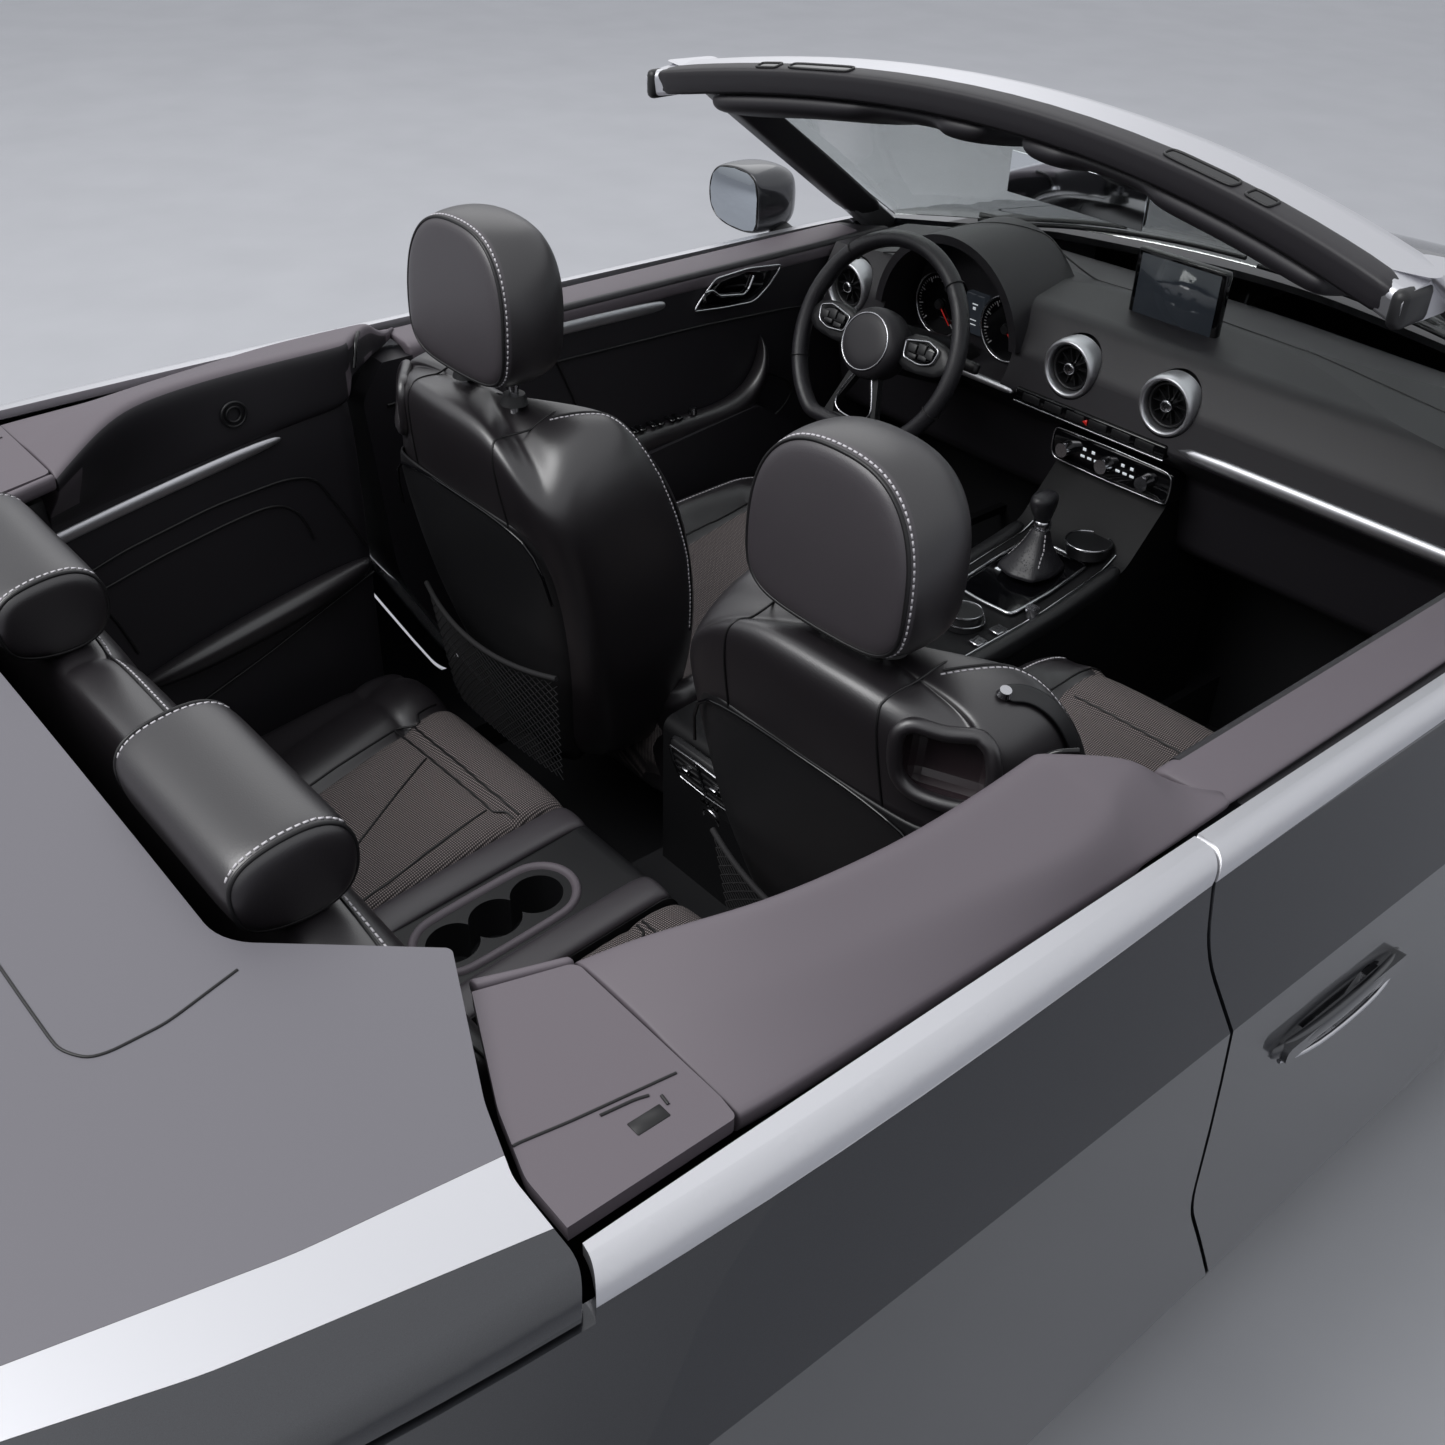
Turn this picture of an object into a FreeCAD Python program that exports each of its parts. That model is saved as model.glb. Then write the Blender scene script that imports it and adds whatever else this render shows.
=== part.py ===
import FreeCAD, Part
import math
import os

V = FreeCAD.Vector

# A compact two-door, four-seat convertible car with its roof stowed, left-hand drive.
# Millimetres. The front faces -Y, +X is the car's left and +Z is up.
# The origin is on the ground, at the middle of the length and of the width.

# Overall sizes
length = 4423.0
width = 1793.0
width_over_mirrors = 1960.0
height = 1391.0
wheelbase = 2595.0
front_overhang = 873.0
front_track = 1555.0
rear_track = 1526.0
ground_clearance = 155.0
belt_z = 965.0
crease_z = 825.0

half_length = length / 2
half_width = width / 2
half_mirrors = width_over_mirrors / 2
nose_y = -half_length
tail_y = half_length
front_axle_y = nose_y + front_overhang
rear_axle_y = front_axle_y + wheelbase

# Wheels
tyre_width = 225.0
tyre_radius = 318.0
rim_radius = 238.0
rim_offset = 45.0
spoke_pairs = 5
spoke_width = 26.0
spoke_depth = 34.0
spoke_half_angle = 13.0
hub_radius = 72.0
hub_bore_radius = 33.0
disc_radius = 160.0
disc_thickness = 24.0
axle_clearance = 0.3
steer_offset = 45.0

# Walls and shut lines
skin = 12.0
shut_gap = 5.0
lid_gap = 9.0
edge_lip = 5.0
edge_inset = 9.0
seat_gap = 0.3
arch_radius = 362.0
liner = 6.0
front_arch_inner_x = 455.0
rear_arch_inner_x = 625.0
shoulder_radius = 24.0
flank_bulge = 6.0

# Doors
door_front_y = -700.0
door_rear_y = 453.0
door_bottom_z = 232.0
door_inner_x = 735.0
door_trim_x = 695.0
door_inner_inset = 24.0
door_hinge_back = 84.0
door_hinge_in = 33.0
strip_z = 941.0
belt_inner_x = 790.0
trim_outer_x = 778.0

# Cabin
floor_z = 190.0
firewall_y = -790.0
bulkhead_y = 1180.0
plate = 8.0
riser_y = 520.0
cowl_y = -905.0
bonnet_rear_y = -975.0
glass_base_y = -925.0
glass_base_z = 1000.0
pillar_base = (758.0, -679.0, 958.0)
pillar_top = (604.0, -95.0, 1330.0)
header_centre_y = -216.0
header_drop = 60.0
header_depth = 118.0
glass_thickness = 5.0

# Lids
lid_front_y = 1205.0
lid_side_front_y = 1064.0
lid_rear_y = 1570.0
boot_edge_z = 700.0
boot_face_x = 520.0
bonnet_front_y = nose_y + 92.0
bonnet_half_width = 700.0

# Cabin fittings
seat_width = 470.0
headrest_width = 250.0
wheel_rim_radius = 187.0
wheel_grip_radius = 16.0
wheel_centre = (367.0, -303.0, 905.0)
wheel_lean = 22.0


def box(x0, x1, y0, y1, z0, z1):
    return Part.makeBox(x1 - x0, y1 - y0, z1 - z0, V(x0, y0, z0))


def mirrored(shape):
    return shape.mirror(V(0, 0, 0), V(1, 0, 0))


def both_sides(shape):
    return Part.makeCompound(solids(shape) + solids(mirrored(shape)))


def solids(shape):
    return [s for s in shape.Solids if s.Volume > 1.0]


def fuse(shapes):
    return shapes[0].multiFuse(shapes[1:]).removeSplitter()


PLANES = {
    "xy": lambda u, v, w: V(u, v, w),
    "yz": lambda u, v, w: V(w, u, v),
    "xz": lambda u, v, w: V(u, w, v),
}


def outline(points, plane, level=0.0):
    """Closed wire of straight runs and tangent arcs. A point is (u, v) or (u, v, corner radius)."""
    place = PLANES[plane]
    count = len(points)
    starts, ends, arcs = [], [], []
    for i, point in enumerate(points):
        here = V(point[0], point[1], 0)
        before = V(points[i - 1][0], points[i - 1][1], 0)
        after = V(points[(i + 1) % count][0], points[(i + 1) % count][1], 0)
        radius = point[2] if len(point) > 2 else 0.0
        if radius <= 0:
            starts.append(here)
            ends.append(here)
            arcs.append(None)
            continue
        to_before = (before - here).normalize()
        to_after = (after - here).normalize()
        half = to_before.getAngle(to_after) / 2
        reach = radius / math.tan(half)
        middle = (to_before + to_after).normalize()
        centre = here + middle * (radius / math.sin(half))
        starts.append(here + to_before * reach)
        ends.append(here + to_after * reach)
        arcs.append(centre - middle * radius)
    edges = []
    for i in range(count):
        if arcs[i] is not None:
            tri = [place(p.x, p.y, level) for p in (starts[i], arcs[i], ends[i])]
            edges.append(Part.Arc(*tri).toShape())
        a, b = ends[i], starts[(i + 1) % count]
        if (b - a).Length > 0.01:
            edges.append(Part.makeLine(place(a.x, a.y, level), place(b.x, b.y, level)))
    return Part.Wire(edges)


def prism(points, plane, low, high, grow=0.0):
    """Solid between two levels across a plane, its outline grown by a gap."""
    wire = outline(points, plane, low)
    if grow:
        wire = wire.makeOffset2D(grow)
    direction = PLANES[plane](0, 0, high - low)
    return Part.Face(wire).extrude(direction)


def cylinder(radius, start, direction, reach):
    return Part.makeCylinder(radius, reach, V(*start), V(*direction))


# The hull: the car's outer form, lofted through cross-sections.
# Columns: y; underside above the ground clearance; insets from the half width of the sill,
# the flank, the crease and the top edge; crease and top edge relative to crease_z and belt_z;
# crown of the deck above its edge.
SECTIONS = [
    (nose_y, 70, 480, 340, 300, 380, -260, -325, 15),
    (nose_y + 60, 40, 300, 170, 155, 240, -230, -275, 22),
    (nose_y + 210, 20, 180, 70, 65, 155, -180, -220, 40),
    (nose_y + 460, 10, 100, 25, 22, 100, -120, -140, 45),
    (front_axle_y, 5, 62, 9, 7, 84, -75, -80, 50),
    (cowl_y, 0, 62, 12, 7, 72, -35, -30, 50),
    (-300.0, 0, 60, 13, 4, 70, -12, -8, 20),
    (450.0, 0, 58, 13, 3, 70, 0, 0, 16),
    (rear_axle_y, 15, 62, 9, 7, 84, 5, -2, 22),
    (tail_y - 461, 40, 105, 30, 32, 160, 15, 0, 27),
    (tail_y - 160, 70, 200, 100, 112, 240, 20, -12, 40),
    (tail_y - 60, 100, 300, 180, 200, 310, -10, -75, 40),
    (tail_y, 140, 420, 300, 320, 380, -130, -225, 15),
]


def section(row, inset):
    y, under, sill_in, flank_in, crease_in, top_in, crease_dz, top_dz, crown = row
    if abs(y) > half_length - 1:
        y -= math.copysign(inset, y)
    z_under = ground_clearance + under + inset
    z_flank = z_under + 165 - inset
    z_crease = crease_z + crease_dz
    z_top = belt_z + top_dz - inset
    sill = half_width - sill_in - inset
    flank = half_width - flank_in - inset
    crease = half_width - crease_in - inset
    top = half_width - top_in - inset
    r = shoulder_radius
    q = r * (1 - math.sqrt(0.5))
    side = [(sill, z_under), (flank, z_flank), (crease, z_crease), (top, z_top - r), (top - r, z_top)]
    right = [V(-x, y, z) for x, z in side]
    left = [V(x, y, z) for x, z in side]
    bulge = flank_bulge

    def flank_arc(a, b, s):
        mid = (a + b) * 0.5 + V(s * bulge, 0, 0)
        return Part.Arc(a, mid, b).toShape()

    edges = [
        Part.makeLine(right[0], left[0]),
        Part.makeLine(left[0], left[1]),
        flank_arc(left[1], left[2], 1),
        Part.makeLine(left[2], left[3]),
        Part.Arc(left[3], V(top - q, y, z_top - q), left[4]).toShape(),
        Part.Arc(left[4], V(0, y, z_top + crown), right[4]).toShape(),
        Part.Arc(right[4], V(q - top, y, z_top - q), right[3]).toShape(),
        Part.makeLine(right[3], right[2]),
        flank_arc(right[2], right[1], -1),
        Part.makeLine(right[1], right[0]),
    ]
    return Part.Wire(edges)


def hull(inset):
    return Part.makeLoft([section(row, inset) for row in SECTIONS], True, False)


outer = hull(0.0)
inner = hull(skin)
inner_rest = hull(skin + seat_gap)
lamp_inner = hull(60.0)

ARCHES = [
    # axle, inner wall of the wheelhouse
    (front_axle_y, front_arch_inner_x),
    (rear_axle_y, rear_arch_inner_x),
]


def arch_cut(radius, inner_gap):
    cuts = []
    for axle_y, inner_x in ARCHES:
        for side in (1, -1):
            start = (side * (inner_x - inner_gap), axle_y, tyre_radius)
            cuts.append(cylinder(radius, start, (side, 0, 0), half_mirrors))
    return Part.makeCompound(cuts)


# Outlines of the openings, seen from above (x, y) or from the side (y, z)
DOOR = [
    (door_front_y, belt_z + 40),
    (door_front_y - 12, 800, 60),
    (door_front_y + 8, 420, 80),
    (door_front_y + 40, door_bottom_z, 70),
    (door_rear_y - 160, door_bottom_z, 80),
    (door_rear_y + 20, 560, 200),
    (door_rear_y + 52, crease_z + 70, 60),
    (door_rear_y, belt_z, 10),
    (door_rear_y, belt_z + 40),
]
BONNET = [
    (-bonnet_half_width, bonnet_rear_y, 30),
    (bonnet_half_width, bonnet_rear_y, 30),
    (bonnet_half_width - 5, nose_y + 420, 200),
    (bonnet_half_width - 120, bonnet_front_y + 70, 100),
    (300, bonnet_front_y, 200),
    (-300, bonnet_front_y, 200),
    (-bonnet_half_width + 120, bonnet_front_y + 70, 100),
    (-bonnet_half_width + 5, nose_y + 420, 200),
]
TOP_LID_HALF = [
    (390, lid_front_y, 60),
    (509, lid_side_front_y, 8),
    (654, lid_side_front_y + 64, 120),
    (720, lid_side_front_y + 84, 60),
    (835, lid_side_front_y + 86, 50),
    (835, lid_rear_y),
]
LID_STRIP = [
    (706, lid_side_front_y + 40),
    (681, 1288, 400),
    (639, 1465, 400),
    (612, lid_rear_y + 15),
    (654, lid_rear_y + 15),
    (685, 1481, 400),
    (721, 1369, 400),
    (779, lid_side_front_y + 40),
]
BOOT_HALF = [
    (660, lid_rear_y + lid_gap, 30),
    (645, tail_y - 260, 60),
    (boot_face_x, tail_y - 150, 60),
    (boot_face_x, tail_y + 50),
]


def closed_by_mirror(half):
    return half + [(-p[0],) + tuple(p[1:]) for p in reversed(half)]


TOP_LID = closed_by_mirror(TOP_LID_HALF)
BOOT = closed_by_mirror(BOOT_HALF)
CABIN = [
    (-belt_inner_x, pillar_base[1] - 10),
    (-450, glass_base_y + 66),
    (0, glass_base_y, 900),
    (450, glass_base_y + 66),
    (belt_inner_x, pillar_base[1] - 10),
    (belt_inner_x, lid_side_front_y + 90),
    (509, lid_side_front_y),
    (390, lid_front_y),
    (-390, lid_front_y),
    (-509, lid_side_front_y),
    (-belt_inner_x, lid_side_front_y + 90),
]
HEADLAMP = [(430, 610, 12), (690, 640, 20), (900, 690), (900, 745), (700, 715, 20), (470, 668, 20)]
TAIL_LAMP = [(boot_face_x + 12, 742, 12), (900, 760), (900, 862), (560, 855, 25)]
GRILLE = [(-400, 600, 30), (-330, 400, 30), (330, 400, 30), (400, 600, 30)]
LOWER_INTAKE = [(-560, 360, 20), (-600, 262, 20), (600, 262, 20), (560, 360, 20)]
TOP = belt_z + 100
wide = half_mirrors + 10
bumper_y = front_axle_y - arch_radius - 14
rear_bumper_y = rear_axle_y + arch_radius + 14
parts = {}


def add(name, shape):
    """Keep a piece as a node of its own, as a compound of separate solids."""
    found = solids(shape)
    parts[name] = found[0] if len(found) == 1 else Part.makeCompound(found)


def across(points, low, high, gap=0.0):
    """A prism along Y on one side, and the same on the other side."""
    one = prism(points, "xz", low, high, gap)
    return Part.makeCompound([one, mirrored(one)])


# Outer panels, cut from the skin of the hull
shell = outer.cut(inner).cut(arch_cut(arch_radius, 0.0))
split_y = door_front_y + 34
front_shell = shell.common(box(-wide, wide, nose_y - 5, split_y - 3, 0, TOP))
rear_shell = shell.common(box(-wide, wide, split_y, tail_y + 5, 0, TOP))

bonnet_low, lid_low, boot_low = 560.0, 938.0, 870.0
lamp_gap = seat_gap
lamp_reach = 520.0

bonnet = front_shell.common(prism(BONNET, "xy", bonnet_low, TOP))
front_cut = front_shell.cut(prism(BONNET, "xy", bonnet_low, TOP, shut_gap))
for cutter in [
    prism(CABIN, "xy", 820, TOP),
    across(HEADLAMP, nose_y - 10, nose_y + lamp_reach, lamp_gap),
    prism(GRILLE, "xz", nose_y - 10, nose_y + 90, seat_gap),
    prism(LOWER_INTAKE, "xz", nose_y - 10, nose_y + 120, seat_gap),
    prism(DOOR, "yz", -wide, wide, shut_gap),
]:
    front_cut = front_cut.cut(cutter)

top_lid = rear_shell.common(prism(TOP_LID, "xy", lid_low, TOP))
lid_strip = top_lid.common(both_sides(prism(LID_STRIP, "xy", lid_low - 30, TOP)))
lid_rest = solids(top_lid.cut(both_sides(prism(LID_STRIP, "xy", lid_low - 30, TOP, seat_gap))))
lid_panel = max(lid_rest, key=lambda s: s.Volume)
lid_edges = Part.makeCompound([s for s in lid_rest if abs(s.CenterOfMass.x) > 500])
boot_face = box(-boot_face_x, boot_face_x, tail_y - 300, tail_y + 50, boot_edge_z, boot_low)
boot_lid = rear_shell.common(prism(BOOT, "xy", boot_low, TOP).fuse(boot_face))
boot_face_cut = box(-boot_face_x - shut_gap, boot_face_x + shut_gap, tail_y - 300, tail_y + 50,
                    boot_edge_z - shut_gap, boot_low)
rear_cut = rear_shell
for cutter in [
    prism(TOP_LID, "xy", lid_low - shut_gap, TOP, lid_gap),
    prism(BOOT, "xy", boot_low - shut_gap, TOP, shut_gap),
    boot_face_cut,
    prism(CABIN, "xy", 820, TOP),
    across(TAIL_LAMP, tail_y - lamp_reach, tail_y + 10, lamp_gap),
    prism(DOOR, "yz", -wide, wide, shut_gap),
]:
    rear_cut = rear_cut.cut(cutter)

COWL = (-640, 640, bonnet_rear_y + shut_gap, door_front_y + 20, 860, TOP)
cowl_box = box(*COWL)
cowl = front_cut.common(cowl_box)
front_cut = front_cut.cut(cowl_box)
front_bumper = front_cut.common(box(-wide, wide, nose_y - 5, bumper_y, 0, TOP))
wing_side = box(500, wide, bumper_y + 3, split_y, 300, TOP).fuse(box(640, wide, bumper_y + 3, split_y, 0, 300))
front_wings = front_cut.common(both_sides(wing_side))
side_zone = box(640, wide, split_y, rear_bumper_y, 0, strip_z).fuse(box(640, wide, lid_rear_y, rear_bumper_y, 0, TOP))
side_panels = rear_cut.common(both_sides(side_zone))
strips = rear_cut.common(both_sides(box(belt_inner_x, wide, door_rear_y, lid_rear_y - 1, strip_z + seat_gap, TOP)))
rear_bumper = rear_cut.common(box(-wide, wide, rear_bumper_y + 3, tail_y + 5, 0, TOP))
rear_bumper = rear_bumper.cut(box(-600, 600, rear_bumper_y, tail_y - 90, 0, 320))

headlamps = outer.cut(lamp_inner).common(across(HEADLAMP, nose_y - 10, nose_y + lamp_reach))
tail_lamps = outer.cut(lamp_inner).common(across(TAIL_LAMP, tail_y - lamp_reach, tail_y + 10))

grille_back = 40.0
grille_bars = [prism(GRILLE, "xz", nose_y + 8, nose_y + grille_back)]
slot_count = 7
slot_pitch = 26.0
for i in range(slot_count):
    z = 500 + (i - (slot_count - 1) / 2) * slot_pitch
    grille_bars[0] = grille_bars[0].cut(box(-310, 310, nose_y, nose_y + 100, z - 8, z + 8))
intake = prism(LOWER_INTAKE, "xz", nose_y + 24, nose_y + 50)
for i in range(3):
    z = 311 + (i - 1) * slot_pitch
    intake = intake.cut(box(-520, 520, nose_y, nose_y + 100, z - 8, z + 8))
add("grille", Part.makeCompound(solids(grille_bars[0]) + solids(intake)))

# Windscreen frame, glass and the trim round them
PILLAR_HALF_X = 27.0
PILLAR_HALF_Y = 46.0


def pillar_section(t, grow=0.0):
    base, top = V(*pillar_base), V(*pillar_top)
    p = base + (top - base) * t
    hx, hy = PILLAR_HALF_X + grow, PILLAR_HALF_Y + grow * 1.8
    points = [(p.x - hx, p.y - hy + 12, 10), (p.x + hx - 16, p.y - hy, 10), (p.x + hx, p.y + hy - 10, 12),
              (p.x - hx, p.y + hy, 10)]
    return outline(points, "xy", p.z)


pillar = Part.makeLoft([pillar_section(-0.14), pillar_section(1.0)], True, True)


def header_line(x):
    """Front upper edge of the header at one place across the car, which bows forwards and upwards."""
    share = (x / pillar_top[0]) ** 2
    y = header_centre_y + (pillar_top[1] - PILLAR_HALF_Y + 4 - header_centre_y) * share
    return y, height - header_drop * share


def header_section(x):
    y, z = header_line(x)
    points = [(y, z - 12, 8), (y + 40, z, 30), (y + header_depth, z - 8, 12), (y + header_depth - 4, z - 44, 6),
              (y + 14, z - 46, 6)]
    return outline(points, "yz", x)


header_x = [-pillar_top[0] - 18, -300, 0, 300, pillar_top[0] + 18]
header = Part.makeLoft([header_section(x) for x in header_x], True, False)
pillar_room = Part.makeLoft([pillar_section(-0.17, shut_gap + 1), pillar_section(1.0, shut_gap + 1)], True, True)
pillars = Part.makeCompound([pillar, mirrored(pillar)])
frame = fuse([header, pillar, mirrored(pillar)])
add("windscreen_frame", frame)


def arc3(a, b, c):
    return Part.Arc(V(*a), V(*b), V(*c)).toShape()


glass_low = arc3((-735, -718, 966), (0, glass_base_y, glass_base_z), (735, -718, 966))
glass_top = arc3((-600, -130, 1318), (0, header_centre_y + 6, height - 30), (600, -130, 1318))
glass = Part.makeRuledSurface(glass_low, glass_top).extrude(V(0, 0.47, -0.88) * glass_thickness)
add("windscreen", solids(glass.cut(frame))[0])

cowl = cowl.cut(pillars)
front_wings = front_wings.cut(pillars)
add("cowl_panel", cowl)

trim_drop = 40.0
cover = []
for x in (-540, -270, 0, 270, 540):
    y, z = header_line(x)
    z -= trim_drop
    points = [(y + header_depth - 10, z, 4), (y + header_depth - 14, z - 22, 8), (y - 70, z - 74, 8),
              (y - 78, z - 62, 4), (y + 30, z - 8, 6)]
    cover.append(outline(points, "yz", x))
header_trim = Part.makeLoft(cover, True, False).cut(frame)
header_trim = solids(header_trim.cut(glass))[0]
add("header_trim", header_trim)
mirror_glass = prism([(-120, 1212, 20), (120, 1212, 20), (120, 1272, 20), (-120, 1272, 20)], "xz",
                     header_centre_y - 92, header_centre_y - 72)
mirror_stem = box(-14, 14, header_centre_y - 90, header_centre_y - 76, 1240, 1330)
add("interior_mirror", solids(mirror_glass.fuse(mirror_stem).cut(header_trim).cut(glass))[0])

# Doors
hinge_x = half_width - door_hinge_in
hinge_y = door_front_y - door_hinge_back
door_block = outer.common(prism(DOOR, "yz", door_inner_x, wide))
# The outermost lip of the skin fills the opening; deeper layers stand back from the shut line
for depth, inset in ((edge_lip, edge_inset), (skin, door_inner_inset)):
    band = prism(DOOR, "yz", door_inner_x - 1, wide).cut(prism(DOOR, "yz", door_inner_x - 2, wide + 1, -inset))
    door_block = door_block.cut(band.common(hull(depth)))
swing_room = cylinder(208, (hinge_x, hinge_y, 896), (0, 0, 1), 200).common(box(600, 790, -1000, -500, 890, 1200))
door_block = door_block.cut(pillar_room).cut(swing_room)
door_panel = door_block.common(box(door_inner_x, wide, -900, 700, 0, strip_z))
door_strip = door_block.common(box(belt_inner_x, wide, -900, 700, strip_z + seat_gap, TOP))
trim_top = 958.0
door_trim = prism(DOOR, "yz", door_trim_x, door_inner_x - seat_gap, -door_inner_inset).common(
    box(door_trim_x, door_inner_x, -900, 700, 0, strip_z + seat_gap))
door_cap = prism([(door_trim_x, strip_z), (door_trim_x, trim_top, 8), (trim_outer_x - 4, trim_top, 6),
                  (trim_outer_x - 4, 948), (belt_inner_x - 1, 948), (belt_inner_x - 1, strip_z)],
                 "xz", door_front_y + 12, door_rear_y - 91)
armrest = prism([(-420, 620, 30), (-300, 700, 40), (240, 640, 60), (300, 560, 30), (-380, 560, 30)], "yz",
                door_trim_x - 45, door_trim_x + 1)
door_trim = fuse([door_trim, door_cap, armrest]).cut(pillar_room).cut(swing_room)
handle_y = (167.0, 395.0)
handle_z = 728.0
handle = prism([(handle_y[0], handle_z - 12, 8), (handle_y[1], handle_z - 8, 8), (handle_y[1], handle_z + 12, 8),
                (handle_y[0], handle_z + 8, 8)], "yz", 870, 908).cut(
    box(860, 898, handle_y[0] + 45, handle_y[1] - 40, handle_z - 40, handle_z + 40))
door_panel = door_panel.cut(Part.makeSphere(60, V(half_width + 40, 235, 705))).fuse(handle)
mirror_foot = prism([(-560, 925, 10), (-470, 925, 10), (-480, 985, 10), (-530, 985, 10)], "yz", belt_inner_x, 875)
mirror_shell = Part.makeLoft([
    outline([(-560, 960, 20), (-450, 950, 20), (-440, 1060, 30), (-520, 1070, 30)], "yz", 860),
    outline([(-590, 955, 35), (-440, 945, 20), (-432, 1072, 30), (-540, 1078, 40)], "yz", 920),
    outline([(-540, 975, 30), (-445, 965, 20), (-440, 1050, 30), (-510, 1055, 30)], "yz", half_mirrors),
], True, False)
door_mirror = mirror_shell.fuse(mirror_foot.cut(door_block))
HINGE_Z = [400.0, 650.0]
pin_radius = 6.0
sleeve_radius = 10.0
door_leaves = []
post_brackets = []
for z in HINGE_Z:
    sleeve = cylinder(sleeve_radius, (hinge_x, hinge_y, z), (0, 0, 1), 40).cut(
        cylinder(pin_radius + 0.1, (hinge_x, hinge_y, z), (0, 0, 1), 40))
    arm = box(hinge_x - 92, hinge_x - pin_radius - 2, hinge_y - 5, hinge_y + 5, z, z + 40)
    leaf = box(hinge_x - 92, hinge_x - 82, hinge_y - 5, door_front_y + 60, z, z + 40)
    door_leaves.append(fuse([sleeve, arm, leaf]))
    pin = cylinder(pin_radius, (hinge_x, hinge_y, z - 8), (0, 0, 1), 56)
    lugs = [box(hinge_x - 20, hinge_x + 9, firewall_y - 12, hinge_y + 9, z - 8, z - 0.3),
            box(hinge_x - 20, hinge_x + 9, firewall_y - 12, hinge_y + 9, z + 40.3, z + 48)]
    post_brackets.append(fuse([pin] + lugs))
door_panel = door_panel.fuse(door_leaves[0]).fuse(door_leaves[1])
for side, flip in (("left", False), ("right", True)):
    for name, shape in (("panel", door_panel), ("strip", door_strip), ("trim", door_trim),
                        ("mirror", door_mirror)):
        add("door_" + name + "_" + side, mirrored(shape) if flip else shape)

# Structure under the panels
house = []
for axle_y, inner_x in ARCHES:
    ring = cylinder(arch_radius + liner, (inner_x - liner, axle_y, tyre_radius), (1, 0, 0), 500)
    ring = ring.cut(cylinder(arch_radius, (inner_x, axle_y, tyre_radius), (1, 0, 0), 600))
    ring = ring.common(box(0, wide, axle_y - 500, axle_y + 500, 262, TOP))
    if axle_y < 0:
        slot = box(inner_x - 50, inner_x + 50, axle_y - 190, axle_y + 190, 200, 470)
        ring = ring.cut(slot)
    else:
        ring = ring.cut(box(inner_x - 50, inner_x + 50, axle_y - 150, axle_y + 150, 200, 420))
    house.append(ring.common(inner_rest))
tower_top = 840.0
tower = cylinder(80, (600, front_axle_y, tyre_radius + arch_radius), (0, 0, 1),
                 tower_top - tyre_radius - arch_radius).common(inner_rest)
rail = box(385, front_arch_inner_x - liner, nose_y + 120, firewall_y, 420, 500)
beam = box(-415, 415, nose_y - 5, nose_y + 150, 620, 650).common(inner_rest)
beam_posts = both_sides(box(385, 415, nose_y + 60, nose_y + 150, 420, 650))
sill = box(650, wide, firewall_y + 12, rear_axle_y - arch_radius - 10, ground_clearance, 250).common(inner_rest)
front_post = box(680, wide, firewall_y - 25, firewall_y - 6, 200, belt_z - 30).common(inner_rest)
rear_post = box(700, wide, door_rear_y + 60, door_rear_y + 60 + plate, 240, 930).common(inner_rest)
tunnel_half = 120.0
tunnel_top = 300.0
firewall = box(-700, 700, firewall_y - plate, firewall_y, 182, 905).cut(
    box(-tunnel_half, tunnel_half, firewall_y - 10, firewall_y + 1, 100, tunnel_top - plate))
floor_plate = box(-700, 700, firewall_y, riser_y, floor_z - plate, floor_z).cut(
    box(-tunnel_half, tunnel_half, firewall_y - 10, riser_y + 10, 100, 300))
tunnel = box(-tunnel_half - plate, tunnel_half + plate, firewall_y - plate, riser_y, floor_z - plate, tunnel_top).cut(
    box(-tunnel_half, tunnel_half, firewall_y - 20, riser_y + 20, 100, tunnel_top - plate))
seat_riser = box(-650, 650, riser_y, riser_y + plate, floor_z - plate, 300).cut(
    box(-tunnel_half, tunnel_half, riser_y - 10, riser_y + 20, 100, tunnel_top - plate))
seat_pan = box(-620, 620, riser_y, bulkhead_y, 300, 300 + plate)
bulkhead = box(-615, 615, bulkhead_y, bulkhead_y + plate, 300, 900)
boot_floor = box(-590, 590, bulkhead_y, tail_y - 85, 330, 330 + plate)
rear_panel = box(-590, 590, tail_y - 85, tail_y - 77, 330, 650)
rear_beam = box(-480, 480, tail_y - 78, tail_y, 480, 560).common(inner_rest)
# Pads for a jack: across, along
JACK_PADS = [(600, -560), (600, 480)]
jack_pads = [cylinder(35, (x, y, 152), (0, 0, 1), floor_z - 152 - 1) for x, y in JACK_PADS]
# Rubber stops under the lids: across, along, foot
STOPS = [(300, nose_y + 130, 650), (600, front_axle_y, tower_top), (500, lid_front_y + 60, 338), (560, tail_y - 420, 338)]
posts = [cylinder(12, (x, y, z - 1), (0, 0, 1), 700).common(inner_rest) for x, y, z in STOPS]
body = [firewall, floor_plate, tunnel, seat_riser, seat_pan, bulkhead, boot_floor, rear_panel, rear_beam, beam]
one_side = house + [tower, rail, sill, front_post, rear_post] + post_brackets + posts + jack_pads
body_shell = fuse(body + one_side + [mirrored(s) for s in one_side] + solids(beam_posts))
body_shell = body_shell.cut(pillars)
add("body_shell", body_shell)

for name, shape in (("bonnet", bonnet), ("top_lid", lid_panel), ("top_lid_strip", lid_strip),
                    ("top_lid_edge", lid_edges), ("boot_lid", boot_lid),
                    ("front_bumper", front_bumper), ("front_wings", front_wings),
                    ("side_panels", side_panels), ("quarter_strips", strips),
                    ("rear_bumper", rear_bumper), ("headlamps", headlamps), ("tail_lamps", tail_lamps)):
    add(name, shape)


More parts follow.
